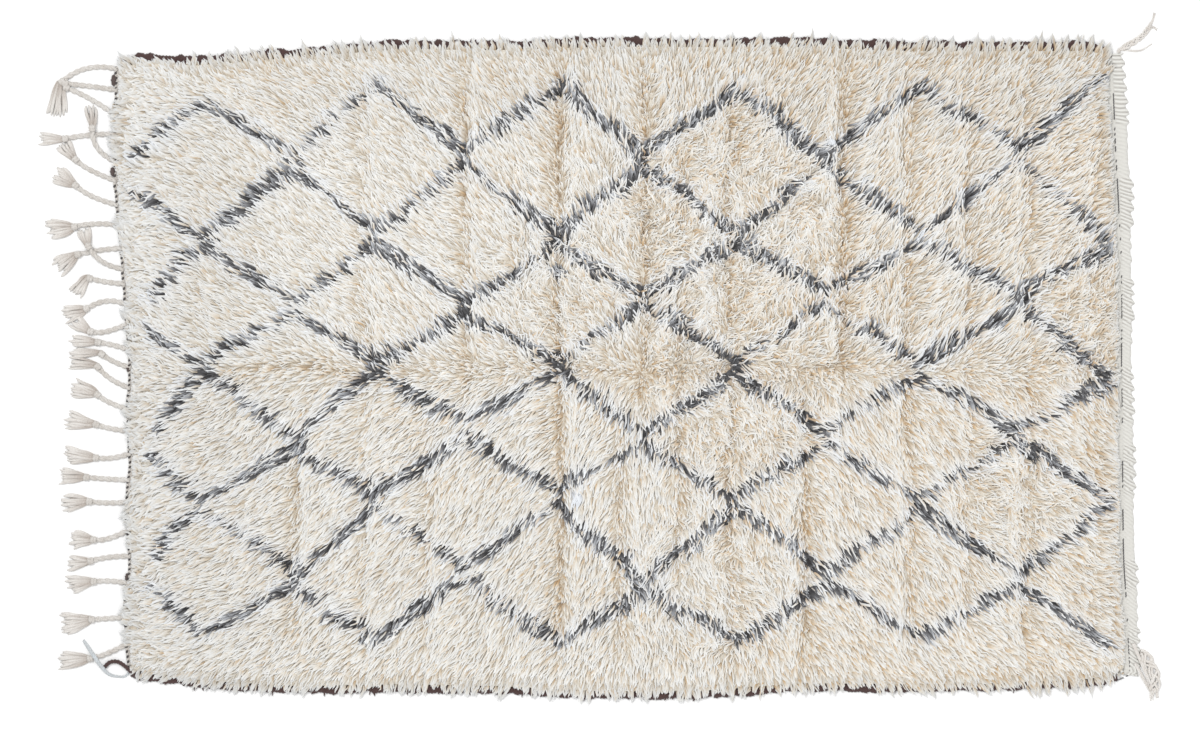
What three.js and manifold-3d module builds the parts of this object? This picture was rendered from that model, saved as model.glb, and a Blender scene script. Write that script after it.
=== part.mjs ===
// A Beni Ourain rug: long wool pile knotted on a woven ground, lying flat on the floor.
//
// Millimetres, +Z up. The floor is z = 0 and the origin lies on it, under the middle of the
// whole rug. The long sides run along X. Plied warp ends leave the rug at -X as a knotted
// fringe, and a flat-woven heading closes it at +X. "Far" is the +Y side and "near" the -Y side.

import * as THREE from 'three';
import { mergeVertices } from 'three/addons/utils/BufferGeometryUtils.js';
import Module from 'manifold-3d';

const wasm = await Module();
wasm.setup();

// ---------------------------------------------------------------- driving dimensions

const GAP = 0.3; // Between one piece and the next.
const JOIN_TOLERANCE = 0.05; // Within which split faces count as one plane.

// The pile field, as a slab of ground weave and pile together.
const PILE = {
  height: 27,
  edgeHeight: 17,
  shoulder: 90, // How far in from the edge the pile reaches its full height.
  lump: 3.5, // Half the unevenness of the pile's surface.
  columns: 50,
  rows: 30,
};

// Where the tips of the pile stop on the two long sides, at stations along the length.
const SIDES = [
  { x: -1185, near: -762, far: 714 },
  { x: -1141, near: -778, far: 738 },
  { x: -972, near: -805, far: 732 },
  { x: -730, near: -819, far: 751 },
  { x: -488, near: -814, far: 771 },
  { x: -246, near: -819, far: 768 },
  { x: -4, near: -831, far: 776 },
  { x: 238, near: -831, far: 776 },
  { x: 480, near: -812, far: 776 },
  { x: 722, near: -814, far: 766 },
  { x: 964, near: -812, far: 766 },
  { x: 1182, near: -802, far: 766 },
  { x: 1290, near: -780, far: 745 },
];

// Where the tips stop at the fringe and at the heading, and where the heading itself ends.
const ENDS = [
  { y: 740, fringe: -1180, pile: 1230, heading: 1259 },
  { y: 563, fringe: -1185, pile: 1237, heading: 1272 },
  { y: 405, fringe: -1184, pile: 1246, heading: 1284 },
  { y: 260, fringe: -1170, pile: 1253, heading: 1283 },
  { y: 115, fringe: -1158, pile: 1255, heading: 1286 },
  { y: -30, fringe: -1148, pile: 1255, heading: 1285 },
  { y: -151, fringe: -1156, pile: 1256, heading: 1288 },
  { y: -248, fringe: -1147, pile: 1257, heading: 1292 },
  { y: -369, fringe: -1160, pile: 1258, heading: 1288 },
  { y: -490, fringe: -1147, pile: 1260, heading: 1292 },
  { y: -587, fringe: -1162, pile: 1265, heading: 1296 },
  { y: -784, fringe: -1151, pile: 1277, heading: 1298 },
];

// How far the tips of the pile hang past the slab on each side.
const OVERHANG = { side: 25, fringe: 17, heading: 13 };

// Soft troughs where the pile parts, crossing the rug from side to side.
const CREASES = [
  { x: -960, from: -700, to: 600, depth: 4 },
  { x: -737, from: -640, to: -220, depth: 8 },
  { x: -565, from: -700, to: 650, depth: 5 },
  { x: -415, from: -700, to: -200, depth: 6 },
  { x: -323, from: -100, to: 700, depth: 7 },
  { x: -100, from: -700, to: 700, depth: 6 },
  { x: 45, from: -700, to: -150, depth: 5 },
  { x: 105, from: -100, to: 700, depth: 6 },
  { x: 190, from: -500, to: 500, depth: 5 },
  { x: 311, from: -700, to: 600, depth: 6 },
  { x: 488, from: -700, to: -100, depth: 7 },
  { x: 580, from: -50, to: 680, depth: 9 },
  { x: 734, from: -700, to: 650, depth: 5 },
  { x: 880, from: -650, to: 600, depth: 5 },
  { x: 1018, from: -700, to: 650, depth: 6 },
  { x: 1177, from: -650, to: 600, depth: 5 },
];
const CREASE_HALF_WIDTH = 30;
const CREASE_FADE = 90; // Over which a crease runs out at its ends.

// One long parting runs along the middle of the rug.
const PARTING = { y: -35, from: -900, to: 240, depth: 6, halfWidth: 32, fade: 120 };

// Locks of pile at the rim, which fall over the selvedges, the fringe and the heading. lean is
// the splay at the corners and stray its unevenness, in radians.
const RIM_LOCK = { pitch: 62, half: 21, sink: 22, underside: 11.6, rise: 9, lean: 0.42, stray: 0.3 };
// The shares of a rim lock's width and thickness from its root to its tip.
const RIM_LOCK_TAPER = [{ width: 0.8, thick: 0.5 }, { width: 1, thick: 1 }, { width: 0.2, thick: 0.3 }];
const RIM_LOCK_SHOULDER = 2; // How far past the rim a lock is at its fullest.

// The long sides are bound over a cord with dark wool. bevel and crown are how far the foot
// and the top stand in from the outer edge.
const SELVEDGE = { width: 19, height: 9.5, lump: 1.2, bevel: 3, crown: 6, waist: 0.45, inner: 0.9 };

// The fringe: a twined strip, and plied cords that end in a knot and a tuft.
const STRIP = { width: 12, height: 6, bevel: 2 };
const CORD = { half: 6.5, rise: 10, step: 19, ply: 0.08 };
const KNOT = { length: 17, half: 11, rise: 15 };
// The shares of a knot's length where it is measured, and of its width there.
const KNOT_SHAPE = [{ along: 0, share: 0.7 }, { along: 0.5, share: 1 }, { along: 1, share: 0.6 }];
// A tuft is a blunt brush of locks that overlap side by side. sink is how far they start inside
// the knot, spread the share of the tuft's own angle that they fan over.
const TUFT = { locks: 5, rise: 12, sink: 7, spread: 0.5, overlap: 1.5, short: 0.14, uneven: 0.12 };
const TUFT_TAPER = [{ width: 0.6, thick: 0.7 }, { width: 1, thick: 1 }, { width: 0.75, thick: 0.5 }];

// A row for each cord, from far to near. It leaves the strip at rootY, swings by the bend and
// ends in a knot. The tuft points along turn (degrees from +X), and lift holds the knot over a
// cord that it crosses. A cord with no tuft of its own is knotted into the one above it.
const TASSELS = [
  { rootY: 698, bendX: -1250, bendY: 716, knotX: -1300, knotY: 672, turn: 264, long: 76, wide: 50 },
  { rootY: 647, bendX: -1250, bendY: 659, knotX: -1290, knotY: 662 },
  { rootY: 584, bendX: -1228, bendY: 626, knotX: -1288, knotY: 650 },
  { rootY: 541, bendX: -1243, bendY: 541, knotX: -1290, knotY: 531, turn: 178, long: 56, wide: 30 },
  { rootY: 473, bendX: -1230, bendY: 497, knotX: -1231, knotY: 546, turn: 95, long: 50, wide: 32, lift: 11 },
  { rootY: 427, bendX: -1243, bendY: 452, knotX: -1267, knotY: 474, turn: 128, long: 50, wide: 42 },
  { rootY: 369, bendX: -1238, bendY: 386, knotX: -1267, knotY: 412, turn: 148, long: 54, wide: 44 },
  { rootY: 321, bendX: -1233, bendY: 328, knotX: -1268, knotY: 318, turn: 184, long: 62, wide: 48 },
  { rootY: 265, bendX: -1218, bendY: 262, knotX: -1260, knotY: 251, turn: 216, long: 58, wide: 44 },
  { rootY: 214, bendX: -1212, bendY: 222, knotX: -1236, knotY: 262, turn: 108, long: 42, wide: 32, lift: 11 },
  { rootY: 178, bendX: -1202, bendY: 182, knotX: -1231, knotY: 190, turn: 232, long: 50, wide: 38 },
  { rootY: 127, bendX: -1194, bendY: 150, knotX: -1240, knotY: 122, turn: 196, long: 52, wide: 44 },
  { rootY: 82, bendX: -1204, bendY: 56, knotX: -1229, knotY: 62, turn: 142, long: 46, wide: 36 },
  { rootY: 18, bendX: -1190, bendY: 34, knotX: -1211, knotY: 36, turn: 178, long: 64, wide: 25 },
  { rootY: -25, bendX: -1180, bendY: -13, knotX: -1203, knotY: 4, turn: 180, long: 70, wide: 24 },
  { rootY: -74, bendX: -1188, bendY: -58, knotX: -1214, knotY: -28, turn: 176, long: 64, wide: 26 },
  { rootY: -125, bendX: -1190, bendY: -113, knotX: -1214, knotY: -94, turn: 164, long: 60, wide: 46 },
  { rootY: -178, bendX: -1190, bendY: -173, knotX: -1216, knotY: -164, turn: 171, long: 72, wide: 42 },
  { rootY: -231, bendX: -1182, bendY: -247, knotX: -1216, knotY: -243, turn: 174, long: 68, wide: 42 },
  { rootY: -296, bendX: -1199, bendY: -294, knotX: -1239, knotY: -290, turn: 178, long: 58, wide: 42 },
  { rootY: -350, bendX: -1199, bendY: -353, knotX: -1232, knotY: -349, turn: 186, long: 64, wide: 46 },
  { rootY: -417, bendX: -1196, bendY: -444, knotX: -1222, knotY: -441, turn: 180, long: 52, wide: 44 },
  { rootY: -480, bendX: -1194, bendY: -480, knotX: -1229, knotY: -490, turn: 184, long: 50, wide: 38 },
  { rootY: -546, bendX: -1185, bendY: -538, knotX: -1221, knotY: -541, turn: 188, long: 60, wide: 44 },
  { rootY: -628, bendX: -1194, bendY: -631, knotX: -1226, knotY: -633, turn: 190, long: 68, wide: 56 },
  { rootY: -691, bendX: -1203, bendY: -722, knotX: -1230, knotY: -726, turn: 184, long: 68, wide: 44 },
];

// A thin thread tied over the last tassel, from the strip's near end to a small knot. A route
// is a row of [x, y] or [x, y, z] places, z being the height of the strand's underside.
const TIE_THREAD = {
  half: 2.4,
  rise: 4,
  route: [
    [-1141, -752], [-1147, -766], [-1160, -775], [-1189, -768],
    [-1213, -748, 7], [-1231, -726, 16], [-1241, -706, 8], [-1250, -689],
  ],
};

// The heading: a flat-woven band, smooth by stretches and bound with fat ribs between them.
const HEADING = { height: 4, ribHeight: 7.5, ribPitch: 14.5, ribOut: 3, bevel: 1 };
const HEADING_SECTION = { brow: 0.7, crest: 0.7 }; // Where the top falls away, and how far.
const RIBBED = [
  { from: 740, to: 563 },
  { from: 434, to: 304 },
  { from: 190, to: 76 },
  { from: -23, to: -156 },
  { from: -212, to: -333 },
  { from: -490, to: -563 },
  { from: -655, to: -790 },
];

// Loose ends at the corners: each is a thick braid that frays into thinner locks. swell is how
// far the braid bulges and narrows from one step to the next.
const TAIL_STEP = 13;
const BRAID = { swell: 0.11, lift: 0.08 };
const FRAY = { rise: 0.8, narrowing: 0.5, thinning: 0.4 };
const FAR_TAIL = {
  half: 7,
  rise: 9,
  route: [[1252, 736.1], [1252, 744], [1272, 755], [1296, 769], [1313, 784], [1325, 800]],
  ends: [
    { half: 5, route: [[1322, 795], [1333, 814], [1339, 834]] },
    { half: 4, route: [[1322, 795], [1334, 800], [1345, 795]] },
    { half: 2.5, route: [[1262, 744], [1303, 744], [1332, 759]] },
  ],
};
const NEAR_TAIL = {
  half: 16,
  rise: 14,
  route: [[1301.2, -712], [1313, -712], [1331, -744], [1347, -776], [1338, -806]],
  ends: [
    { half: 7, route: [[1341, -800], [1333, -816], [1334, -829]] },
    { half: 6, route: [[1338, -800], [1344, -814], [1347, -822]] },
    { half: 5, route: [[1328, -762], [1314, -780], [1308, -796]] },
  ],
};
const SELVEDGE_TAIL = {
  half: 4.5,
  rise: 7,
  route: [[-1128, -766], [-1143, -764, 5], [-1158, -758, 5], [-1176, -744], [-1194, -742], [-1190, -755]],
};

// ---------------------------------------------------------------- small helpers

const { lerp, smoothstep, degToRad } = THREE.MathUtils;

// Numbers from 0 to 1 that come out the same on every run.
function seeded(seed) {
  let state = seed;
  return () => {
    state = (state * 1664525 + 1013904223) % 4294967296;
    return state / 4294967296;
  };
}

// Reads one column of a table at a place between its rows, which are sorted by key.
function readTable(table, key, at, column) {
  const rising = table[0][key] < table[table.length - 1][key];
  const rows = rising ? table : [...table].reverse();
  const above = rows.findIndex((row) => row[key] >= at);
  if (above === 0) return rows[0][column];
  if (above === -1) return rows[rows.length - 1][column];
  const low = rows[above - 1];
  const high = rows[above];
  return lerp(low[column], high[column], (at - low[key]) / (high[key] - low[key]));
}

// Fades a stretch in and out at its two ends.
function stretch(at, from, to, fade) {
  return smoothstep(at, from - fade, from + fade) * (1 - smoothstep(at, to - fade, to + fade));
}

// A trough of the given half-width.
function trough(distance, halfWidth) {
  return Math.exp(-((distance / halfWidth) ** 2));
}

function geometryFrom(positions, indices) {
  const geometry = new THREE.BufferGeometry();
  geometry.setAttribute('position', new THREE.Float32BufferAttribute(positions, 3));
  geometry.setIndex(indices);
  return geometry;
}

// Closes a row of rings into one shell. Every ring has the same number of points, which run
// counter-clockwise as seen from the last ring.
function sweep(rings) {
  const size = rings[0].length;
  const last = (rings.length - 1) * size;
  const indices = [];
  for (let start = 0; start < last; start += size) {
    for (let k = 0; k < size; k++) {
      const a = start + k;
      const b = start + ((k + 1) % size);
      indices.push(a, b, b + size, a, b + size, a + size);
    }
  }
  for (let k = 1; k < size - 1; k++) {
    indices.push(0, k + 1, k);
    indices.push(last, last + k, last + k + 1);
  }
  return geometryFrom(rings.flat(2), indices);
}

// The section of a strand: places across its half-width, and their share of its thickness.
const FOUR_SIDED = [[-1, 0], [1, 0], [0.5, 1], [-0.5, 1]];
const THREE_SIDED = [[-1, 0], [1, 0], [0, 1]];

// A strand with a flat underside, through stations { x, y, z, turn, half, rise }: z is the
// height of its underside, half its half-width and rise its thickness there.
function strand(stations, section = FOUR_SIDED) {
  return sweep(stations.map(({ x, y, z, turn, half, rise }) => section.map(([across, up]) => [
    x - Math.sin(turn) * across * half,
    y + Math.cos(turn) * across * half,
    z + up * rise,
  ])));
}

function toManifold(geometry) {
  const positionOnly = new THREE.BufferGeometry();
  positionOnly.setAttribute('position', geometry.getAttribute('position'));
  positionOnly.setIndex(geometry.getIndex());
  const merged = mergeVertices(positionOnly);
  return new wasm.Manifold(new wasm.Mesh({
    numProp: 3,
    vertProperties: new Float32Array(merged.getAttribute('position').array),
    triVerts: new Uint32Array(merged.getIndex().array),
  }));
}

// Joins overlapping shells into one solid, and merges the flat faces that the joins split.
function fuse(geometries) {
  const joined = geometries.map(toManifold).reduce((sum, next) => sum.add(next));
  const mesh = joined.asOriginal().simplify(JOIN_TOLERANCE).getMesh();
  return geometryFrom(Array.from(mesh.vertProperties), Array.from(mesh.triVerts));
}

// ---------------------------------------------------------------- plan of the slab

const fringeEdge = (y) => readTable(ENDS, 'y', y, 'fringe') + OVERHANG.fringe;
const headingEdge = (y) => readTable(ENDS, 'y', y, 'pile') - OVERHANG.heading;
const nearEdge = (x) => readTable(SIDES, 'x', x, 'near') + OVERHANG.side;
const farEdge = (x) => readTable(SIDES, 'x', x, 'far') - OVERHANG.side;

// The place at shares u along the length (fringe to heading) and v across it (near to far).
const PLAN_PASSES = 4;
function planPoint(u, v) {
  let x = 0;
  let y = 0;
  for (let pass = 0; pass < PLAN_PASSES; pass++) {
    x = lerp(fringeEdge(y), headingEdge(y), u);
    y = lerp(nearEdge(x), farEdge(x), v);
  }
  return new THREE.Vector2(x, y);
}

// The slab's rim on one side, walked clockwise, so that outward is on the left.
function rim(side) {
  const { columns, rows } = PILE;
  const walks = {
    far: { steps: columns, at: (t) => planPoint(t, 1) },
    heading: { steps: rows, at: (t) => planPoint(1, 1 - t) },
    near: { steps: columns, at: (t) => planPoint(1 - t, 0) },
    fringe: { steps: rows, at: (t) => planPoint(0, t) },
  };
  const { steps, at } = walks[side];
  const points = Array.from({ length: steps + 1 }, (_, i) => at(i / steps));
  return points.map((point, i) => {
    const before = points[Math.max(i - 1, 0)];
    const after = points[Math.min(i + 1, steps)];
    return { x: point.x, y: point.y, turn: Math.atan2(after.y - before.y, after.x - before.x) };
  });
}

// Shifts a rim station outward, and lifts it to a height.
function outward({ x, y, turn }, distance, z) {
  return [x - Math.sin(turn) * distance, y + Math.cos(turn) * distance, z];
}

const spacing = (a, b) => Math.hypot(b.x - a.x, b.y - a.y);

// A station between two others.
function between(a, b, share) {
  const swing = Math.atan2(Math.sin(b.turn - a.turn), Math.cos(b.turn - a.turn));
  return { x: lerp(a.x, b.x, share), y: lerp(a.y, b.y, share), turn: a.turn + swing * share };
}

// ---------------------------------------------------------------- pile

function creaseDepth(x, y) {
  let depth = PARTING.depth * trough(y - PARTING.y, PARTING.halfWidth)
    * stretch(x, PARTING.from, PARTING.to, PARTING.fade);
  for (const crease of CREASES) {
    const along = stretch(y, crease.from, crease.to, CREASE_FADE);
    depth = Math.max(depth, crease.depth * along * trough(x - crease.x, CREASE_HALF_WIDTH));
  }
  return depth;
}

function slab() {
  const { columns, rows } = PILE;
  const random = seeded(11);
  const positions = [];
  const indices = [];
  const vertex = (i, j) => j * (columns + 1) + i;
  for (let j = 0; j <= rows; j++) {
    for (let i = 0; i <= columns; i++) {
      const { x, y } = planPoint(i / columns, j / rows);
      const inset = Math.min(y - nearEdge(x), farEdge(x) - y, x - fringeEdge(y), headingEdge(y) - x);
      const rounding = smoothstep(inset, -PILE.shoulder / 2, PILE.shoulder);
      const crown = lerp(PILE.edgeHeight, PILE.height, rounding);
      const lump = PILE.lump * (random() * 2 - 1);
      positions.push(x, y, crown + lump - creaseDepth(x, y));
    }
  }
  for (let j = 0; j < rows; j++) {
    for (let i = 0; i < columns; i++) {
      const [a, b, c, d] = [vertex(i, j), vertex(i + 1, j), vertex(i + 1, j + 1), vertex(i, j + 1)];
      // The diagonal alternates, so that the lumps have no grain.
      const faces = (i + j) % 2 ? [a, b, c, a, c, d] : [a, b, d, b, c, d];
      indices.push(...faces);
    }
  }

  // The rim goes straight down to a flat underside.
  const loop = [];
  for (let i = 0; i < columns; i++) loop.push(vertex(i, 0));
  for (let j = 0; j < rows; j++) loop.push(vertex(columns, j));
  for (let i = columns; i > 0; i--) loop.push(vertex(i, rows));
  for (let j = rows; j > 0; j--) loop.push(vertex(0, j));
  const floor = positions.length / 3;
  const outline = loop.map((top) => new THREE.Vector2(positions[3 * top], positions[3 * top + 1]));
  outline.forEach(({ x, y }) => positions.push(x, y, 0));
  loop.forEach((top, k) => {
    const next = (k + 1) % loop.length;
    indices.push(top, floor + k, floor + next, top, floor + next, loop[next]);
  });
  for (const [a, b, c] of THREE.ShapeUtils.triangulateShape(outline, [])) {
    indices.push(floor + a, floor + c, floor + b);
  }
  return geometryFrom(positions, indices);
}

// One lock: it starts inside the slab, passes over the rim and tapers to a tip.
function rimLock(station, reach, lean, half) {
  const turn = station.turn + Math.PI / 2 + lean;
  const { sink, underside, rise } = RIM_LOCK;
  const at = (distance, { width, thick }) => ({
    x: station.x + Math.cos(turn) * distance,
    y: station.y + Math.sin(turn) * distance,
    z: underside,
    turn,
    half: half * width,
    rise: rise * thick,
  });
  return strand([
    at(-sink, RIM_LOCK_TAPER[0]),
    at(RIM_LOCK_SHOULDER, RIM_LOCK_TAPER[1]),
    at(reach, RIM_LOCK_TAPER[2]),
  ]);
}

function rimLocks() {
  const random = seeded(23);
  const overhangs = {
    far: OVERHANG.side,
    heading: OVERHANG.heading,
    near: OVERHANG.side,
    fringe: OVERHANG.fringe,
  };
  const locks = [];
  for (const [side, overhang] of Object.entries(overhangs)) {
    const stations = rim(side);
    const length = spacing(stations[0], stations.at(-1));
    const count = Math.round(length / RIM_LOCK.pitch);
    for (let k = 0; k < count; k++) {
      const place = ((k + 0.5 + 0.3 * (random() - 0.5)) / count) * (stations.length - 1);
      const first = Math.floor(place);
      const station = between(stations[first], stations[first + 1], place - first);
      // The pile lies outward from the middle of the rug, so the locks splay toward its ends.
      const splay = RIM_LOCK.lean * (0.5 - (k + 0.5) / count) * 2;
      const lean = splay + RIM_LOCK.stray * (random() - 0.5);
      const reach = overhang * (0.8 + 0.5 * random());
      locks.push(rimLock(station, reach, lean, RIM_LOCK.half * (0.8 + 0.4 * random())));
    }
  }
  return locks;
}

// ---------------------------------------------------------------- selvedges

function selvedge(side) {
  const random = seeded(side === 'far' ? 31 : 37);
  const { width, height, lump, bevel, crown, waist, inner } = SELVEDGE;
  const rings = rim(side).map((station) => {
    const outer = width + lump * (random() * 2 - 1);
    const top = height - lump * random();
    return [
      outward(station, GAP, 0),
      outward(station, outer - bevel, 0),
      outward(station, outer, top * waist),
      outward(station, outer - crown, top),
      outward(station, GAP, top * inner),
    ];
  });
  return sweep(rings);
}

// ---------------------------------------------------------------- strands on the floor

// Samples a smooth route through hand-placed points every step or so.
function stationsAlong(route, step, sizeAt) {
  const points = route.map(([x, y, z = 0]) => new THREE.Vector3(x, y, z));
  const curve = new THREE.CatmullRomCurve3(points, false, 'centripetal');
  const count = Math.max(2, Math.round(curve.getLength() / step));
  return Array.from({ length: count + 1 }, (_, i) => {
    const t = i / count;
    const { x, y, z } = curve.getPointAt(t);
    const tangent = curve.getTangentAt(t);
    return { x, y, z: Math.max(z, 0), turn: Math.atan2(tangent.y, tangent.x), ...sizeAt(t, i) };
  });
}

// A braid that swells and narrows from step to step, and the thin locks that it frays into.
function tail({ half, rise, route, ends = [] }) {
  const braid = stationsAlong(route, TAIL_STEP, (t, i) => ({
    half: half * (1 + BRAID.swell * (i % 2 ? 1 : -1)),
    rise: rise * (1 + BRAID.lift * (i % 2 ? 1 : -1)),
  }));
  const frayed = ends.map((end) => stationsAlong(end.route, TAIL_STEP, (t) => ({
    half: end.half * (1 - FRAY.narrowing * t),
    rise: Math.min(rise * FRAY.rise, end.half * 2) * (1 - FRAY.thinning * t),
  })));
  return [braid, ...frayed].map((stations) => strand(stations));
}

// ---------------------------------------------------------------- fringe

function strip() {
  const rings = rim('fringe').map((station) => [
    outward(station, GAP, 0),
    outward(station, STRIP.width, 0),
    outward(station, STRIP.width - STRIP.bevel, STRIP.height - STRIP.bevel / 2),
    outward(station, GAP, STRIP.height),
  ]);
  return sweep(rings);
}

// The fringe strip's middle line, where a cord is rooted.
function stripRoot(rootY) {
  return new THREE.Vector3(fringeEdge(rootY) - STRIP.width * 0.5, rootY, 0);
}

function cordAndKnot(tassel) {
  const { rootY, bendX, bendY, knotX, knotY, lift = 0 } = tassel;
  const curve = new THREE.QuadraticBezierCurve3(
    stripRoot(rootY),
    new THREE.Vector3(bendX, bendY, 0),
    new THREE.Vector3(knotX, knotY, 0),
  );
  const steps = Math.round(curve.getLength() / CORD.step);
  const stations = [];
  for (let i = 0; i <= steps; i++) {
    const t = i / steps;
    const point = curve.getPointAt(t);
    const tangent = curve.getTangentAt(t);
    const ply = 1 + CORD.ply * (i % 2 ? 1 : -1);
    stations.push({
      x: point.x,
      y: point.y,
      z: lift * smoothstep(t, 0.25, 0.75),
      turn: Math.atan2(tangent.y, tangent.x),
      half: CORD.half * ply,
      rise: CORD.rise * ply,
    });
  }
  const { x, y, z, turn } = stations.pop();
  const knot = KNOT_SHAPE.map(({ along, share }) => ({
    x: x + Math.cos(turn) * along * KNOT.length,
    y: y + Math.sin(turn) * along * KNOT.length,
    z,
    turn,
    half: KNOT.half * share,
    rise: KNOT.rise * share,
  }));
  return [...stations, ...knot];
}

// Locks that fan out from the knot. They come down to the floor and stay level on it, and the
// middle ones reach furthest.
function tuftLocks(tassel, knotEnd, random) {
  const { locks, rise, sink, overlap, short, uneven } = TUFT;
  const heading = degToRad(tassel.turn);
  const spread = Math.atan2(tassel.wide, tassel.long) * TUFT.spread;
  const half = (tassel.wide / locks / 2) * overlap;
  return Array.from({ length: locks }, (_, k) => {
    const side = (k / (locks - 1)) * 2 - 1;
    const turn = heading + spread * side;
    const long = tassel.long * (1 - short * side * side + uneven * (random() - 0.5));
    const at = (along, z, { width, thick }) => ({
      x: knotEnd.x + Math.cos(turn) * along,
      y: knotEnd.y + Math.sin(turn) * along,
      z,
      turn,
      half: half * width,
      rise: rise * thick,
    });
    return strand([
      at(-sink, knotEnd.z, TUFT_TAPER[0]),
      at(long * 0.5, 0, TUFT_TAPER[1]),
      at(long, 0, TUFT_TAPER[2]),
    ], THREE_SIDED);
  });
}

function fringe() {
  const random = seeded(41);
  const shells = [strip()];
  for (const tassel of TASSELS) {
    const stations = cordAndKnot(tassel);
    shells.push(strand(stations));
    if (tassel.long) shells.push(...tuftLocks(tassel, stations.at(-1), random));
  }
  const { route, half, rise } = TIE_THREAD;
  shells.push(strand(stationsAlong(route, CORD.step, () => ({ half, rise }))));
  return fuse(shells);
}

// ---------------------------------------------------------------- heading

function heading() {
  const stations = rim('heading');
  const rings = [];
  const ring = (station, crest) => {
    const outer = readTable(ENDS, 'y', station.y, 'heading') - headingEdge(station.y);
    const out = outer + (crest ? HEADING.ribOut : 0);
    const top = crest ? HEADING.ribHeight : HEADING.height;
    return [
      outward(station, GAP, 0),
      outward(station, out, 0),
      outward(station, out - HEADING.bevel, top * HEADING_SECTION.brow),
      outward(station, out * HEADING_SECTION.crest, top),
      outward(station, GAP, HEADING.height),
    ];
  };
  for (let i = 0; i < stations.length - 1; i++) {
    const middle = between(stations[i], stations[i + 1], 0.5);
    const ribbed = RIBBED.some(({ from, to }) => middle.y < from && middle.y > to);
    const ribs = Math.round(spacing(stations[i], stations[i + 1]) / HEADING.ribPitch);
    const parts = ribbed ? 2 * ribs : 1;
    for (let k = 0; k < parts; k++) {
      rings.push(ring(between(stations[i], stations[i + 1], k / parts), k % 2 === 1));
    }
  }
  rings.push(ring(stations.at(-1), false));
  return sweep(rings);
}

// ---------------------------------------------------------------- the rug

const wool = (color) => new THREE.MeshStandardMaterial({ color, roughness: 0.95, metalness: 0 });
const IVORY = wool('#e6dfd1');
const DARK_BROWN = wool('#463630');
const CREAM = wool('#d9d0bf');

function piece(name, geometry, material) {
  const mesh = new THREE.Mesh(geometry, material);
  mesh.name = name;
  return mesh;
}

const rug = new THREE.Group();
rug.add(
  piece('pile_carpet', fuse([slab(), ...rimLocks()]), IVORY),
  piece('selvedge_far', selvedge('far'), DARK_BROWN),
  piece('selvedge_near', fuse([selvedge('near'), ...tail(SELVEDGE_TAIL)]), DARK_BROWN),
  piece('fringe', fringe(), CREAM),
  piece('heading', heading(), CREAM),
  piece('corner_tail_far', fuse(tail(FAR_TAIL)), CREAM),
  piece('corner_tail_near', fuse(tail(NEAR_TAIL)), CREAM),
);

export default rug;
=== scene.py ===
"""The looks of the Beni Ourain rug: shag pile, lattice, selvedges, fringe and heading.

Metres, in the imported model's frame: +Z up, the floor at z = 0, the fringe at -X and the
heading at +X. Sizes below are written in millimetres and scaled by MM where they are used.
"""

import math

import bpy
import numpy as np
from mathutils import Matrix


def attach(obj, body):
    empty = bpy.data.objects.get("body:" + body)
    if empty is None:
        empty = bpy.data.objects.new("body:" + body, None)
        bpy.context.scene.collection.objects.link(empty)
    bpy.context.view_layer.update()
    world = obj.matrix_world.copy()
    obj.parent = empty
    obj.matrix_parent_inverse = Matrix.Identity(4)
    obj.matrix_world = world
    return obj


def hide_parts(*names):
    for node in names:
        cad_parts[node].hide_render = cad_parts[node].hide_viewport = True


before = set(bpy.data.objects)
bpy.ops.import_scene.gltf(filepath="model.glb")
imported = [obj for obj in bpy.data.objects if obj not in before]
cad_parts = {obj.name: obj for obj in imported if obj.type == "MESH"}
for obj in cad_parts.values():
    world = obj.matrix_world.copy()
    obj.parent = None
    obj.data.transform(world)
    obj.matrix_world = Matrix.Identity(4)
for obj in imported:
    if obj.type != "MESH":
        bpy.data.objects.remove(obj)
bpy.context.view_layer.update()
MM = 0.001

# ---------------------------------------------------------------- sizes

# The woven ground, and the height of the pile's dense body over the floor.
GROUND = {"low": 0.6, "high": 3.0, "columns": 60, "rows": 38}
BODY = {"edge": 12, "middle": 18.5, "shoulder": 80, "columns": 230, "rows": 146}

# How far in from the ground's box its corner points still count as one of its edges.
EDGE_BAND = {"far": 90, "near": 90, "fringe": 50, "heading": 70}

# One lock of pile is a ridged strand that leans over and tapers to its tip.
LOCK = {"length": 60, "wide": 4.5, "thick": 1.3, "sink": 3.5, "rise": 6.5, "lie": 0.88}
LOCKS_ALONG = 316
LOCKS_ACROSS = 198
VEIN_LOCKS = 6500  # Short locks that fill the partings.
PILE_PIECES = 5
CLUMP = 19  # Locks gather in clumps about this far apart.
# How a lock strays from the pile's lie, each as a plain amount and what tousling adds to it.
STRAY = {
    "angle": (0.07, 0.12), "clump_angle": (0.10, 0.5), "bend": (0.07, 0.24), "wave": (0.045, 0.11),
}
# How far the tips hang past the woven ground on each side, and how low they come there.
OVERHANG = {"far": 54, "near": 40, "fringe": 34, "heading": 15}
TIP_FLOOR = 10.4
# Where the tips hang further out: by what share more, and from and to which x (or y) it grows.
LONGER_SIDE = [(0.6, 980, 1080), (0.4, 1120, 1200)]
LONGER = {"far": LONGER_SIDE, "near": LONGER_SIDE, "heading": [(2.2, 670, 710)]}
# The stretches of the fringe end where the tips hang over the stitches (from y, to y), and
# the share of their hang that is left between them.
COVERED = [(632, 461), (342, 252), (130, 8), (-100, -228), (-350, -458), (-538, -698)]
UNCOVERED_HANG = 0.22
# Along an edge the tips draw together into pointed tufts about this far apart.
RIM_TUFT = {"sides": 20, "ends": 21, "shortest": 0.45, "longest": 1.1, "pull": 0.95, "point": 0.5}
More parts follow.
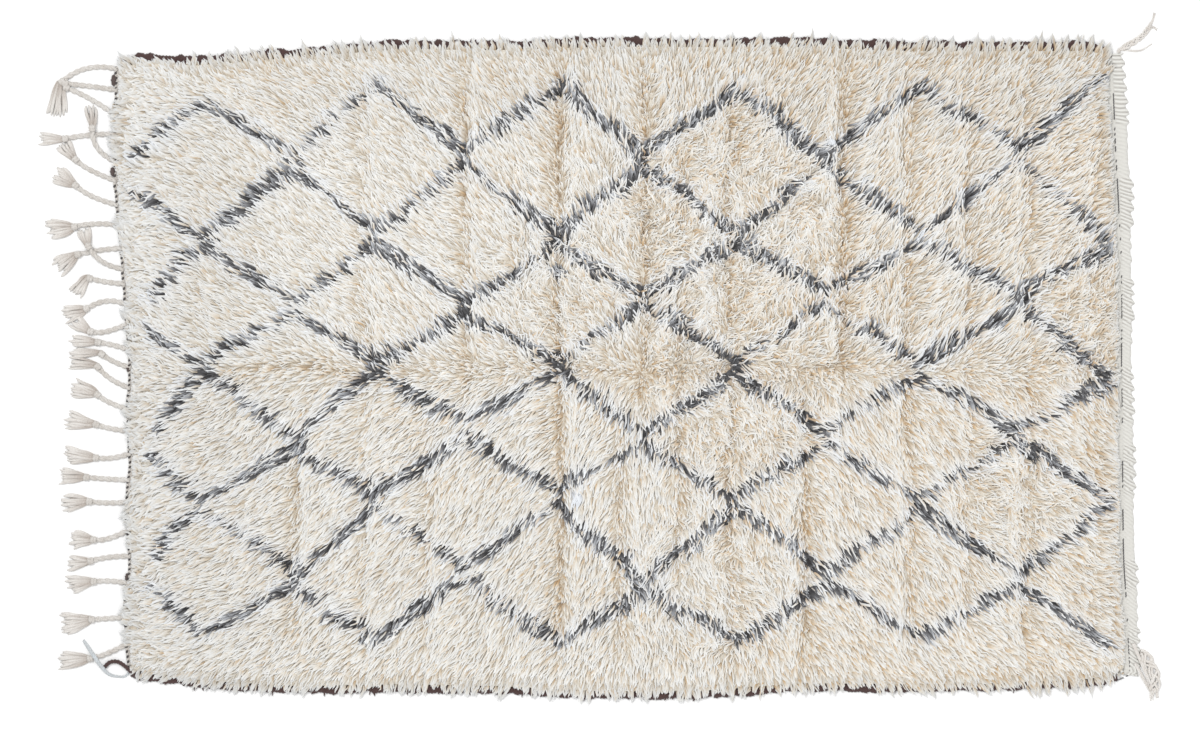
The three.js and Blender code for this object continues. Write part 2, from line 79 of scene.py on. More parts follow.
# Where the hanging tips are short, so that the dark selvedge shows: x, half of its length.
SHOWN = {
    "far": [
        (-1098, 28), (-1003, 42), (-934, 10), (-762, 16), (-480, 8), (-334, 8), (-33, 38), (86, 12),
        (222, 32), (340, 36), (468, 66), (576, 9), (664, 22), (870, 8), (964, 9), (1024, 7),
        (1198, 12),
    ],
    "near": [
        (-1028, 9), (-792, 6), (-660, 10), (-554, 16), (-418, 6), (-210, 8), (8, 20), (156, 8),
        (234, 6), (284, 9), (530, 10), (634, 6), (998, 9), (1038, 6),
    ],
}

# The charcoal lattice, by the places where its lines cross. "peaks" are the columns that
# start with a peak near the far side, "valleys" the columns between them.
PEAK_X = [-960, -548, -105, 328, 771, 1218]
PEAK_Y = [
    [616, 660, 660, 647, 652, 672],
    [282, 289, 284, 289, 289, 272],
    [-18, -18, -18, -23, -30, -47],
    [-359, -350, -342, -352, -352, -350],
    [-676, -684, -688, -684, -679, -686],
]
VALLEY_X = [-744, -333, 100, 541, 1008]
VALLEY_Y = [
    [483, 485, 478, 478, 497],
    [122, 115, 142, 146, 146],
    [-202, -178, -195, -192, -192],
    [-534, -519, -551, -531, -538],
]
# Where the lines that leave the first peaks run out toward the fringe: peak row, x, y.
FRINGE_ENDS = [
    (0, -1146, 483), (1, -1129, 393), (1, -1088, 156), (2, -1095, 62),
    (2, -1078, -168), (3, -1093, -236), (3, -1085, -473), (4, -1095, -555),
]
LINE = {"half": 13, "waver": 9, "stretch": 14}

# Thick dark knots on the lattice, and places where it thins out: x, y, radius.
DARK_SPOTS = [
    (-338, 112, 26), (-730, -207, 22), (-110, -6, 26), (335, -18, 24), (848, -413, 20),
    (1218, -59, 26), (1224, -355, 22), (-40, 378, 18), (-108, 210, 18), (38, 410, 22),
]
FAINT_SPOTS = [
    (595, 115, 40), (-246, 393, 34), (100, -500, 30), (790, 300, 26), (0, -255, 44),
    (626, -110, 36), (-730, 330, 30),
]
# Places where a bluish-white tuft lies on the pile: x, y, radius.
WHITE_SPOTS = [(775, 292, 16), (-60, -345, 14), (553, 519, 12), (-95, -320, 12)]

# Partings across the rug, where the pile leans away to both sides: x, from y, to y, strength.
CREASES = [
    (-960, -700, 600, 0.2), (-737, -640, -220, 0.8), (-565, -700, 650, 0.5),
    (-415, -700, -200, 0.5), (-323, -100, 700, 0.7), (-100, -700, 700, 0.9),
    (45, -700, -150, 0.7), (105, -100, 700, 0.8), (190, -500, 500, 0.6),
    (311, -700, 600, 0.7), (488, -700, -100, 0.9), (580, -50, 680, 1.0),
    (734, -700, 650, 0.6), (880, -650, 600, 0.5), (1018, -700, 650, 0.6),
    (1177, -650, 600, 0.5),
]
CREASE_REACH = 26  # Within which the pile leans away.
CREASE_DEPTH = 7.0
CREASE_HALF = 8
CREASE_FADE = 60  # Over which a crease runs in or out at its ends.
# One more parting runs along the middle of the rug.
PARTING = {
    "y": -35, "half": 12, "waver": 13, "width": 30, "from": -950, "to": 700, "strength": 0.8,
}

# How far the pile leans over toward the fringe, in degrees from straight across, by x.
SPLAY = [
    (-1165, 82), (-970, 68), (-730, 53), (-488, 46), (-245, 38), (0, 20),
    (120, 0), (260, -14), (480, -30), (720, -38), (965, -46), (1210, -60),
]
# Where the pile is tousled: x, y, radius, strength.
TOUSLED = [
    (300, 330, 300, 1.0), (-80, 130, 220, 0.7), (330, -60, 260, 0.8), (1180, 80, 190, 0.9),
    (980, -300, 170, 0.7), (250, -520, 240, 0.5), (640, 130, 160, 0.5),
]

# The dark binding of the long sides, and the stray ends of wool that stand out of it.
BINDING = {
    "far": 25, "near": 21, "height": 9.3, "pitch": 8, "step": 2.67, "inner": 0.6, "slant": 3.0,
    "sides": 10,
}
STRAY_END = {"count": 60, "long": (9, 20), "wide": (3, 6), "thick": 1.8, "root": 10, "high": 9.4}
SELVEDGE_TAIL = {
    "route": [
        (-1128, -766, 0), (-1141, -757, 4), (-1155, -744, 4), (-1172, -735, 1),
        (-1190, -737, 0), (-1202, -748, 0),
    ],
    "half": 5.4, "lift": 5.6, "pitch": 15,
}

# The fringe: a twined strip with dark stitches, plied cords, knots and tufts.
STRIP = {"out": 5.4, "half": 5.6, "high": 2.9, "half_high": 2.8}
STITCH = {"pitch": 6.2, "half_long": 4.4, "half_wide": 3.4, "half_high": 2.6, "slant": 0.7}
# How far out and how high the strip's outer and inner rows of stitches lie.
STITCH_ROWS = {"outer": (10, 4.8), "inner": (3.2, 5.2)}
CORD = {"half": 6.6, "flat": 0.78, "pitch": 34}
KNOT = {"half": 9.0, "yarn": 4.6, "long": 17}
# A tuft's strands for each millimetre of its width, and their half sizes.
TUFT = {"strands": 0.26, "yarn": (2.9, 4.3), "high": 5}

# A row for each cord, from far to near: root y, bend x, y, knot x, y, the knot's lift, and
# for a cord with its own tuft the way it points (degrees from +X), its length and width.
TASSELS = [
    (698, -1250, 716, -1300, 672, 0, 264, 76, 50), (647, -1250, 659, -1290, 662, 0),
    (584, -1228, 626, -1288, 650, 0), (541, -1243, 541, -1290, 531, 0, 178, 56, 30),
    (473, -1230, 497, -1231, 546, 11, 95, 50, 32), (427, -1243, 452, -1267, 474, 0, 128, 50, 42),
    (369, -1238, 386, -1267, 412, 0, 148, 54, 44), (321, -1233, 328, -1268, 318, 0, 184, 62, 48),
    (265, -1218, 262, -1260, 251, 0, 216, 58, 44), (214, -1212, 222, -1236, 262, 11, 108, 42, 32),
    (178, -1202, 182, -1231, 190, 0, 232, 50, 38), (127, -1194, 150, -1240, 122, 0, 196, 52, 44),
    (82, -1204, 56, -1229, 62, 0, 142, 46, 36), (18, -1190, 34, -1211, 36, 0, 178, 64, 25),
    (-25, -1180, -13, -1203, 4, 0, 180, 70, 24), (-74, -1188, -58, -1214, -28, 0, 176, 64, 26),
    (-125, -1190, -113, -1214, -94, 0, 164, 60, 46),
    (-178, -1190, -173, -1216, -164, 0, 171, 72, 42),
    (-231, -1182, -247, -1216, -243, 0, 174, 68, 42),
    (-296, -1199, -294, -1239, -290, 0, 178, 58, 42),
    (-350, -1199, -353, -1232, -349, 0, 186, 64, 46),
    (-417, -1196, -444, -1222, -441, 0, 180, 52, 44),
    (-480, -1194, -480, -1229, -490, 0, 184, 50, 38),
    (-546, -1185, -538, -1221, -541, 0, 188, 60, 44),
    (-628, -1194, -631, -1226, -633, 0, 190, 68, 56),
    (-691, -1203, -722, -1230, -726, 0, 184, 68, 44),
]
# The thread tied over the last tassel: its route, and its half thickness at shares of it.
TIE_THREAD = [
    (-1141, -752, 0), (-1147, -766, 0), (-1160, -772, 0), (-1191, -766, 0),
    (-1213, -742, 6), (-1231, -715, 12), (-1243, -697, 8), (-1253, -684, 3),
]
TIE_HALF = [(0, 2.6), (0.25, 3.2), (0.5, 5.4), (0.85, 5.6), (1, 4.2)]
TIE_PITCH = 14
# Lumps of dark weft that stand out of the strip: y, half width, half length.
LUMPS = [(671, 6.5, 14), (450, 6.5, 11), (-26, 4.5, 9), (-530, 4, 9)]
LUMP = {"high": 5.8, "half_high": 5}

# The heading: where its outer edge runs (y, x), how far its ribs slant by y, its ribbed
# stretches (from y, to y), and the dark thread twined along its inner side.
BAND = {"step": 1.7, "across": 12, "pitch": 9.5, "flat": 4.0, "rib": 5.4, "scallop": 29, "lap": 8.5}
BAND_ENDS = [
    (740, 1255), (563, 1270), (470, 1273), (430, 1277), (405, 1281), (290, 1278), (115, 1281),
    (-30, 1279), (-151, 1283), (-248, 1285), (-369, 1285), (-490, 1289), (-587, 1294), (-784, 1296),
]
BAND_SLANT = [(-790, 1.0), (-500, 0.8), (0, 0.65), (430, 0.5), (600, 0.15), (740, 0.02)]
RIBBED = [(740, 563), (434, 304), (190, 76), (-23, -156), (-212, -333), (-490, -563), (-655, -790)]
THREAD_LINE = {
    "pitch": 6.5, "out": 16.5, "high": 4.9, "stray_share": 0.2,
    "half_long": 3.9, "half_wide": 1.6, "half_high": 1.3, "slant": 0.25,
}
THREAD_SHOWN = [
    (638, 575), (434, 345), (150, 92), (34, -24), (-76, -120), (-250, -300),
    (-364, -417), (-442, -560), (-676, -773),
]

# The loose ends at the heading's corners: a braid of strands, and the ends that it frays
# into, each a route with its half width. fray is a fray's strands and their half size.
TAILS = {
    "far": {
        "route": [(1252, 737), (1252, 744), (1272, 755), (1296, 769), (1313, 784), (1325, 800)],
        "half": 8.5, "strand": 2.1, "pitch": 46, "count": 5,
        "ends": [
            ([(1322, 795), (1333, 814), (1339, 834)], 4.5),
            ([(1322, 795), (1334, 800), (1345, 795)], 3.5),
            ([(1262, 744), (1303, 744), (1332, 759)], 1.0),
        ],
        "fray": (5, 1.4),
    },
    "near": {
        "route": [(1303, -712), (1312, -716), (1327, -746), (1341, -778), (1334, -806)],
        "half": 17, "strand": 3.7, "pitch": 110, "count": 5,
        "ends": [
            ([(1341, -800), (1333, -816), (1334, -829)], 6),
            ([(1338, -800), (1344, -814), (1347, -822)], 5),
            ([(1288, -690, 6), (1304, -728, 6), (1322, -768, 9), (1336, -806, 2)], 9),
            ([(1290, -738, 5), (1304, -762, 3), (1322, -794, 2), (1335, -820, 0)], 8),
        ],
        "fray": (3, 2.7),
    },
}

# ---------------------------------------------------------------- colours

# The pile's locks from root to tip, and the charcoal ones by how grey they are. Every kind darkens
# toward the root: partly the deeper wool's own tan, partly painted shade down in the pile.
PILE_COLOURS = {
    "pale": [
        (0.0, (0.46, 0.355, 0.23)), (0.35, (0.66, 0.597, 0.50)),
        (0.65, (0.77, 0.757, 0.72)), (0.9, (0.83, 0.838, 0.835)),
    ],
    "tan": [
        (0.0, (0.34, 0.195, 0.08)), (0.45, (0.60, 0.44, 0.27)),
        (0.75, (0.79, 0.735, 0.64)), (0.95, (0.86, 0.85, 0.825)),
    ],
    "charcoal": [
        (0.0, (0.010, 0.009, 0.009)), (0.32, (0.032, 0.031, 0.032)),
        (0.6, (0.125, 0.124, 0.13)), (0.95, (0.50, 0.52, 0.55)),
    ],
    "white": [(0.0, (0.42, 0.42, 0.43)), (0.6, (0.77, 0.80, 0.84))],
}
# The pile's foot, from the depths to the crowns of its combed strands. The depths are darker and
# tanner: partly the wool's own tan, partly painted shade between the strands.
FOOT_COLOURS = {
    "ivory": [
        (0.0, (0.36, 0.26, 0.17)), (0.25, (0.58, 0.50, 0.39)),
        (0.55, (0.74, 0.70, 0.62)), (1.0, (0.82, 0.81, 0.77)),
    ],
    "charcoal": [
        (0.0, (0.015, 0.014, 0.014)), (0.7, (0.10, 0.10, 0.105)), (1.0, (0.3, 0.31, 0.33)),
    ],
}
BACK_COLOURS = {
    "cream": [(0.1, (0.42, 0.36, 0.28)), (0.8, (0.76, 0.71, 0.62))],
    "charcoal": [(0.1, (0.03, 0.03, 0.03)), (0.9, (0.15, 0.15, 0.155))],
}
# The heading's colours, from painted shade in the valleys between its ribs to painted light on the
# tops of the ribs.
HEADING_COLOURS = [
    (0.12, (0.24, 0.21, 0.18)), (0.4, (0.50, 0.48, 0.45)),
    (0.62, (0.66, 0.65, 0.61)), (0.9, (0.77, 0.765, 0.73)),
]
# A tuft's yarn at its roots, darkened with painted shade, and at its tips, each between shades of
# its fibres.
TUFT_COLOURS = {
    "root": [(0.3, (0.28, 0.23, 0.20)), (0.65, (0.58, 0.53, 0.48))],
    "tip": [(0.3, (0.54, 0.50, 0.46)), (0.65, (0.80, 0.78, 0.75))],
}
# Each plain yarn's light and deep colour, and the scale of its fibres.
YARNS = {
    "selvedge_wool": ((0.095, 0.052, 0.048), (0.028, 0.015, 0.014), 900.0),
    "cord_wool": ((0.76, 0.74, 0.71), (0.38, 0.345, 0.31), 700.0),
    "stitch_wool": ((0.12, 0.11, 0.11), (0.03, 0.027, 0.027), 900.0),
    "tie_wool": ((0.72, 0.77, 0.80), (0.40, 0.43, 0.46), 900.0),
    "weft_wool": ((0.13, 0.10, 0.095), (0.04, 0.025, 0.022), 900.0),
    "thread_wool": ((0.16, 0.155, 0.16), (0.04, 0.038, 0.04), 900.0),
    "tail_wool": ((0.88, 0.87, 0.85), (0.50, 0.44, 0.38), 700.0),
}
YARN_WEAR = [(0.3, (0.86, 0.84, 0.82)), (0.7, (1.0, 1.0, 1.0))]

# ---------------------------------------------------------------- studio

FLOOR = {"half": 9.0, "colour": (0.93, 0.93, 0.93, 1), "roughness": 0.9}
SKY_STRENGTH = 0.74
# Each area light's place and size in metres, and its power in watts.
LIGHTS = {
    "key": {"place": (-2.4, 3.0, 8.6), "power": 400, "size": 3.0},
    "fill": {"place": (3.0, -2.4, 4.5), "power": 60, "size": 3.5},
}
VIEW_WIDTH = 2904  # The width of floor that the camera takes in.
VIEW_CENTRE = (-4, -42)
CAMERA_HEIGHT = 12000

# ---------------------------------------------------------------- numbers and noise


def noise(x, y, size, seed):
    """Smooth noise from -1 to 1, with lumps about size millimetres across."""
    lattice = np.random.default_rng(seed).uniform(-1, 1, (64, 64))
    u, v = x / (size * MM), y / (size * MM)
    i, j = np.floor(u).astype(int), np.floor(v).astype(int)
    fu, fv = u - i, v - j
    su, sv = fu * fu * (3 - 2 * fu), fv * fv * (3 - 2 * fv)

    def row(b):
        return lattice[i % 64, b % 64] * (1 - su) + lattice[(i + 1) % 64, b % 64] * su

    return row(j) * (1 - sv) + row(j + 1) * sv


def smoothstep(value, low, high):
    t = np.clip((value - low) / (high - low), 0, 1)
    return t * t * (3 - 2 * t)


def aimed(angle):
    """Flat unit vectors at angles from +X."""
    return np.stack([np.cos(angle), np.sin(angle)], 1)


def turned(flat):
    """Flat vectors after a quarter turn to the left."""
    return np.stack([-flat[:, 1], flat[:, 0]], 1)


def level(flat):
    """Flat vectors or places with a z of 0."""
    return np.column_stack([flat, np.zeros(len(flat))])


def run_along(line):
    """How far along a line each of its points is."""
    return np.concatenate([[0], np.cumsum(np.linalg.norm(np.diff(line, axis=0), axis=1))])


# ---------------------------------------------------------------- plan, read from the frame


def base_points(node):
    """The corners of a node's underside, as an array of x, y."""
    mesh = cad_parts[node].data
    points = np.empty(len(mesh.vertices) * 3)
    mesh.vertices.foreach_get("co", points)
    points = points.reshape(-1, 3)
    return np.unique(points[points[:, 2] < 0.1 * MM][:, :2].round(6), axis=0)


def rim_tufts(run, size):
    """The middle of the tuft at each place along an edge, its share of the full hang, and
    how far it is cut back where the selvedge shows."""
    random = np.random.default_rng(41)
    kinds = 256
    shift = random.uniform(-0.22, 0.22, kinds)
    share = random.uniform(RIM_TUFT["shortest"], RIM_TUFT["longest"], kinds)
    cut = np.where(random.uniform(0, 1, kinds) > 0.45, 0.7, 0.1)
    cell = np.floor(run / (size * MM)).astype(int)
    kind = cell % kinds
    return (cell + 0.5 + shift[kind]) * size * MM, share[kind], cut[kind]


class Plan:
    """The slab's four edges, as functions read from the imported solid's underside."""

    def __init__(self):
        base = base_points("pile_carpet")
        x, y = base.T
        inset = {
            "far": y.max() - y, "near": y - y.min(), "fringe": x - x.min(), "heading": x.max() - x,
        }
        self.sides = {}
        for side, gap in inset.items():
            axis = 0 if side in SHOWN else 1
            points = base[gap < EDGE_BAND[side] * MM]
            points = points[np.argsort(points[:, axis])]
            self.sides[side] = points[:, axis], points[:, 1 - axis]

    def at(self, side, place):
        return np.interp(place, *self.sides[side])

    def point(self, u, v):
        """The place at shares u along the length and v across the width."""
        x, y = np.zeros_like(u), np.zeros_like(v)
        for _ in range(4):
            fringe, heading = self.at("fringe", y), self.at("heading", y)
            x = fringe + (heading - fringe) * u
            near, far = self.at("near", x), self.at("far", x)
            y = near + (far - near) * v
        return x, y

    def beyond(self, x, y):
        """How far each place lies beyond each edge of the slab; under 0 is inside it."""
        return {
            "far": y - self.at("far", x),
            "near": self.at("near", x) - y,
            "fringe": self.at("fringe", y) - x,
            "heading": x - self.at("heading", y),
        }

    def inset(self, x, y):
        return -np.max(list(self.beyond(x, y).values()), axis=0)

    def past(self, x, y, trim):
        """How far each place lies past the trimmed hang of the tips; under 0 is short of it."""
        gaps = self.beyond(x, y)
        for side, gap in gaps.items():
            run, size = (x, RIM_TUFT["sides"]) if side in SHOWN else (y, RIM_TUFT["ends"])
            middle, share, cut = rim_tufts(run, size)
            bare = np.zeros_like(run)
            for shown, half in SHOWN.get(side, []):
                far_off = np.abs(run - shown * MM)
                bare = np.maximum(bare, 1 - smoothstep(far_off, half * MM, (half + 8) * MM))
            share = trim * share * (1 - cut * bare)
            if side == "fringe":
                over = np.zeros_like(run)
                for high, low in COVERED:
                    over = np.maximum(over, (run < high * MM) & (run > low * MM))
                share = share * (UNCOVERED_HANG + (1 - UNCOVERED_HANG) * over)
            grown = 1
            for more, low, high in LONGER.get(side, []):
                grown = grown + more * smoothstep(run, low * MM, high * MM)
            gaps[side] = gap - OVERHANG[side] * MM * (share * grown)
        return np.max(list(gaps.values()), axis=0)

    def drawn(self, x, y):
        """The step along the edge that draws a tip past it to the point of its tuft."""
        pull = {
            side: RIM_TUFT["pull"] * smoothstep(gap, -22 * MM, 8 * MM)
            for side, gap in self.beyond(x, y).items()
        }
        long_side = np.maximum(pull["far"], pull["near"])
        short_side = np.maximum(pull["fringe"], pull["heading"])
        short_side = np.where(short_side > long_side, short_side, 0)
        return np.stack([
            long_side * (rim_tufts(x, RIM_TUFT["sides"])[0] - x),
            short_side * (rim_tufts(y, RIM_TUFT["ends"])[0] - y),
        ], 1)

    def rim(self, side, step):
        """Places every step or so along one edge, with the outward direction at each."""
        place = np.linspace(0, 1, 400)
        edges = {"far": (place, 1), "near": (place, 0), "fringe": (0, place), "heading": (1, place)}
        u, v = np.broadcast_arrays(*edges[side])
        x, y = self.point(u.astype(float), v.astype(float))
        run = np.concatenate([[0], np.cumsum(np.hypot(np.diff(x), np.diff(y)))])
        even = np.linspace(0, run[-1], max(2, round(run[-1] / (step * MM))) + 1)
        x, y = np.interp(even, run, x), np.interp(even, run, y)
        slope = np.arctan2(np.gradient(y), np.gradient(x))
        turn = 1 if side in ("far", "fringe") else -1
        return x, y, slope + turn * math.pi / 2


plan = Plan()

# ---------------------------------------------------------------- the charcoal lattice


def lattice_lines():
    """The lattice's straight stretches, as arrays of their two ends, in metres."""
    lines = []
    lift = LINE["stretch"]
    for column, valley_x in enumerate(VALLEY_X):
        for row in range(4):
            valley = VALLEY_Y[row][column]
            for side in (column, column + 1):
                peak_above, peak_below = PEAK_Y[row][side], PEAK_Y[row + 1][side]
                upper = peak_above - (lift if row > 0 else 0)
                lower = peak_below + (lift if row < 3 else 0)
                lines.append((PEAK_X[side], upper, valley_x, valley + lift))
                lines.append((PEAK_X[side], lower, valley_x, valley - lift))
    for row, x, y in FRINGE_ENDS:
        lines.append((PEAK_X[0], PEAK_Y[row][0], x, y))
    lines = np.array(lines) * MM
    return lines[:, :2], lines[:, 2:]


def line_distance(x, y):
    """How far each place is from the nearest line of the lattice."""
    starts, ends = lattice_lines()
    nearest = np.full(x.shape, np.inf)
    for start, end in zip(starts, ends):
        along = end - start
        t = ((x - start[0]) * along[0] + (y - start[1]) * along[1]) / (along @ along)
        t = np.clip(t, 0, 1)
        gap = np.hypot(x - start[0] - t * along[0], y - start[1] - t * along[1])
        nearest = np.minimum(nearest, gap)
    return nearest


def spots(x, y, table, full=0.6, gone=1.3):
    """1 inside the spots of a table, fading to 0 between two shares of their radius."""
    share = np.zeros_like(x)
    for spot_x, spot_y, radius in table:
        gap = np.hypot(x - spot_x * MM, y - spot_y * MM) / (radius * MM)
        share = np.maximum(share, 1 - smoothstep(gap, full, gone))
    return share


def line_depth(x, y):
    """How far inside a wavering line of the lattice each place is, in metres."""
    waver = LINE["waver"] * MM
    wx = x + waver * noise(x, y, 60, 1)
    wy = y + waver * noise(x, y, 60, 2)
    half = LINE["half"] * (1 + 0.6 * noise(x, y, 75, 3) + 0.4 * noise(x, y, 26, 4))
    half = half * (1 - 0.75 * spots(x, y, FAINT_SPOTS)) + 4 * spots(x, y, DARK_SPOTS)
    inside = half * MM - line_distance(wx, wy)
    thick = spots(x, y, DARK_SPOTS)
    return np.where(thick > 0.3, np.maximum(inside, (thick - 0.5) * 12 * MM), inside)


# ---------------------------------------------------------------- how the pile lies


def along_crease(y, low, high):
    """Fades a crease in and out at its two ends."""
    fade = CREASE_FADE * MM
    inside = smoothstep(y, low * MM - fade, low * MM + fade)
    return inside * (1 - smoothstep(y, high * MM - fade, high * MM + fade))


def past_crease(x, y, crease_x):
    """How far each place lies past a crease, which strays sideways as it runs."""
    return x - crease_x * MM - 8 * MM * noise(np.full_like(y, crease_x * MM), y, 80, 14)


def creasing(x, y):
    """How deep in a parting each place is, from 0 to 1."""
    depth = np.zeros_like(x)
    for crease_x, low, high, strength in CREASES:
        offset = past_crease(x, y, crease_x) / (CREASE_HALF * MM)
        depth = np.maximum(depth, strength * along_crease(y, low, high) * np.exp(-(offset**2)))
    offset = (y - parting_line(x)) / (PARTING["half"] * MM)
    inside = along_crease(x, PARTING["from"], PARTING["to"])
    inside = inside * (0.7 + 0.5 * noise(x, 0 * x, 110, 18))
    return np.maximum(depth, PARTING["strength"] * inside * np.exp(-(offset**2)))


def parting_line(x):
    """Where the parting along the middle of the rug runs, at each x."""
    return PARTING["y"] * MM + PARTING["waver"] * MM * noise(x, 0 * x, 95, 15)


def tousling(x, y):
    """How tousled the pile is at each place, from a little to 1."""
    share = 0.12 + 0.4 * smoothstep(-x, 1.0, 1.12)
    for *spot, strength in TOUSLED:
        share = np.maximum(share, strength * spots(x, y, [spot], 0.5, 1.2))
    return share


def calming(x, y):
    """How calm the pile is at each place: 0 in the field and 1 along the long sides."""
    sides = plan.beyond(x, y)
    return smoothstep(np.maximum(sides["far"], sides["near"]), -120 * MM, -60 * MM)


def pile_direction(x, y):
    """The angle that the pile leans toward: outward from the middle, and away from partings."""
    places, angles = np.array(SPLAY).T
    sides = plan.beyond(x, y)
    rim = smoothstep(np.maximum(sides["far"], sides["near"]), -75 * MM, -10 * MM)
    splay = np.radians(np.interp(x, places * MM, angles)) * (1 - 0.55 * rim)
    side = np.tanh((y - parting_line(x)) / (PARTING["width"] * MM))
    lean_x, lean_y = -np.sin(splay), np.cos(splay) * side
    for crease_x, low, high, strength in CREASES:
        offset = past_crease(x, y, crease_x) / (CREASE_REACH * MM)
        push = 1.7 * strength * offset * np.exp(-(offset**2))
        lean_x = lean_x + push * along_crease(y, low, high)
    angle = np.arctan2(lean_y, lean_x)
    tousle = tousling(x, y)
    angle = angle + tousle * (1.1 * noise(x, y, 85, 5) + 0.8 * noise(x, y, 38, 6))
    return angle + 0.16 * noise(x, y, 150, 7) + 0.12 * noise(x, y, 40, 16)


def spreading(x, y):
    """How fast the pile's direction spreads apart at each place, per metre."""
    reach = 9 * MM
    right, left = pile_direction(x + reach, y), pile_direction(x - reach, y)
    above, below = pile_direction(x, y + reach), pile_direction(x, y - reach)
    rate = np.cos(right) - np.cos(left) + np.sin(above) - np.sin(below)
    return np.maximum(rate / (2 * reach), 0)


def body_height(x, y):
    """The height of the pile's dense body, with its creases and lumps."""
    inset = plan.inset(x, y)
    crown = smoothstep(inset, -BODY["shoulder"] * MM / 2, BODY["shoulder"] * MM)
    height = BODY["edge"] + (BODY["middle"] - BODY["edge"]) * crown
    height = height + 1.8 * crown * (noise(x, y, 62, 21) + 0.6 * noise(x, y, 26, 22))
    return (height - CREASE_DEPTH * crown * creasing(x, y)) * MM


def clump_centres(x, y):
    """The middle of the clump that each lock belongs to, on a jittered grid."""
    size = CLUMP * MM
    jitter = np.random.default_rng(9).uniform(0.15, 0.85, (128, 128, 2))
    i, j = np.floor(x / size).astype(int), np.floor(y / size).astype(int)
    best = np.full(x.shape, np.inf)
    cx, cy = x.copy(), y.copy()
    for di in (-1, 0, 1):
        for dj in (-1, 0, 1):
            spot = jitter[(i + di) % 128, (j + dj) % 128]
            px, py = (i + di + spot[..., 0]) * size, (j + dj + spot[..., 1]) * size
            gap = np.hypot(px - x, py - y)
            closer = gap < best
            best = np.where(closer, gap, best)
            cx, cy = np.where(closer, px, cx), np.where(closer, py, cy)
    return cx, cy


# ---------------------------------------------------------------- meshes


def placed(name, data):
    """A new object, in the scene."""
    item = bpy.data.objects.new(name, data)
    bpy.context.scene.collection.objects.link(item)
    return item


def mesh_piece(name, points, faces, material, values=None, uv=None):
    """A piece from arrays of points and triangles or quads. values are named floats or
    vectors at its points, and uv are places at its corners."""
    mesh = bpy.data.meshes.new(name)
    mesh.vertices.add(len(points))
    mesh.vertices.foreach_set("co", points.astype(np.float32).ravel())
    corners = faces.shape[1]
    mesh.loops.add(faces.size)
    mesh.loops.foreach_set("vertex_index", faces.astype(np.int32).ravel())
    mesh.polygons.add(len(faces))
    mesh.polygons.foreach_set("loop_start", np.arange(0, faces.size, corners, dtype=np.int32))
    mesh.update(calc_edges=True)
    mesh.shade_smooth()
    for key, value in (values or {}).items():
        kind = "FLOAT" if value.ndim == 1 else "FLOAT_VECTOR"
        field = "value" if value.ndim == 1 else "vector"
        layer = mesh.attributes.new(key, kind, "POINT")
        layer.data.foreach_set(field, value.astype(np.float32).ravel())
    if uv is not None:
        layer = mesh.uv_layers.new(name="OFBake")
        layer.data.foreach_set("uv", uv.astype(np.float32).ravel())
    mesh.materials.append(material)
    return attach(placed(name, mesh), "root")


# ---------------------------------------------------------------- node trees


class Nodes:
    """A short way to build a material's node tree around one Principled shader."""

    def __init__(self, name):
        self.material = bpy.data.materials.new(name)
        self.material.use_nodes = True
        self.tree = self.material.node_tree
        self.shader = self.tree.nodes["Principled BSDF"]

    def add(self, kind, inputs=None, **settings):
        node = self.tree.nodes.new(kind)
        for key, value in settings.items():
            setattr(node, key, value)
        for key, value in (inputs or {}).items():
            self.put(value, node.inputs[key])
        return node

    def put(self, value, socket):
        if isinstance(value, bpy.types.NodeSocket):
            self.tree.links.new(value, socket)
        else:
            socket.default_value = value

    def attribute(self, name, vector=False):
        node = self.add("ShaderNodeAttribute", attribute_name=name)
        return node.outputs["Vector" if vector else "Fac"]

    def math(self, operation, a, b=0.0, c=0.0, clamp=False):
        node = self.add("ShaderNodeMath", {0: a, 1: b, 2: c}, operation=operation, use_clamp=clamp)
        return node.outputs[0]

    def vector(self, operation, a, b):
        return self.add("ShaderNodeVectorMath", {0: a, 1: b}, operation=operation).outputs[0]

    def mix(self, share, a, b, blend="MIX"):
        node = self.add("ShaderNodeMix", data_type="RGBA", blend_type=blend)
        self.put(share, node.inputs[0])
        self.put(a, node.inputs[6])
        self.put(b, node.inputs[7])
        return node.outputs[2]

    def ramp(self, value, stops):
        node = self.add("ShaderNodeValToRGB", {0: value})
        elements = node.color_ramp.elements
        while len(elements) < len(stops):
            elements.new(0.5)
        for element, (place, colour) in zip(elements, stops):
            element.position = place
            element.color = (*colour, 1)
        return node.outputs[0]

    def noise(self, vector, scale, detail=3.0):
        inputs = {"Vector": vector, "Scale": scale, "Detail": detail}
        return self.add("ShaderNodeTexNoise", inputs).outputs["Fac"]

    def place(self):
        return self.add("ShaderNodeTexCoord").outputs["Object"]

    def wave(self, scale, distortion, direction):
        """Wavering bands that follow each other along one axis."""
        inputs = {"Vector": self.place(), "Scale": scale, "Distortion": distortion, "Detail": 2.0}
        return self.add("ShaderNodeTexWave", inputs, bands_direction=direction).outputs["Fac"]

    def wool(self, colour, height, strength, distance, roughness):
        """Joins colour, a bump height and a roughness range to the shader, with wool's sheen."""
        inputs = {"Height": height, "Strength": strength, "Distance": distance}
        bump = self.add("ShaderNodeBump", inputs)
        low, high = roughness
        rough = self.add("ShaderNodeMapRange", {0: height, 3: low, 4: high}).outputs[0]
        self.put(colour, self.shader.inputs["Base Color"])
        self.put(bump.outputs[0], self.shader.inputs["Normal"])
        self.put(rough, self.shader.inputs["Roughness"])
        self.shader.inputs["Sheen Weight"].default_value = 0.25
        self.shader.inputs["Sheen Roughness"].default_value = 0.6
        self.shader.inputs["Specular IOR Level"].default_value = 0.15
        return self.material


# ---------------------------------------------------------------- ribbons and tubes


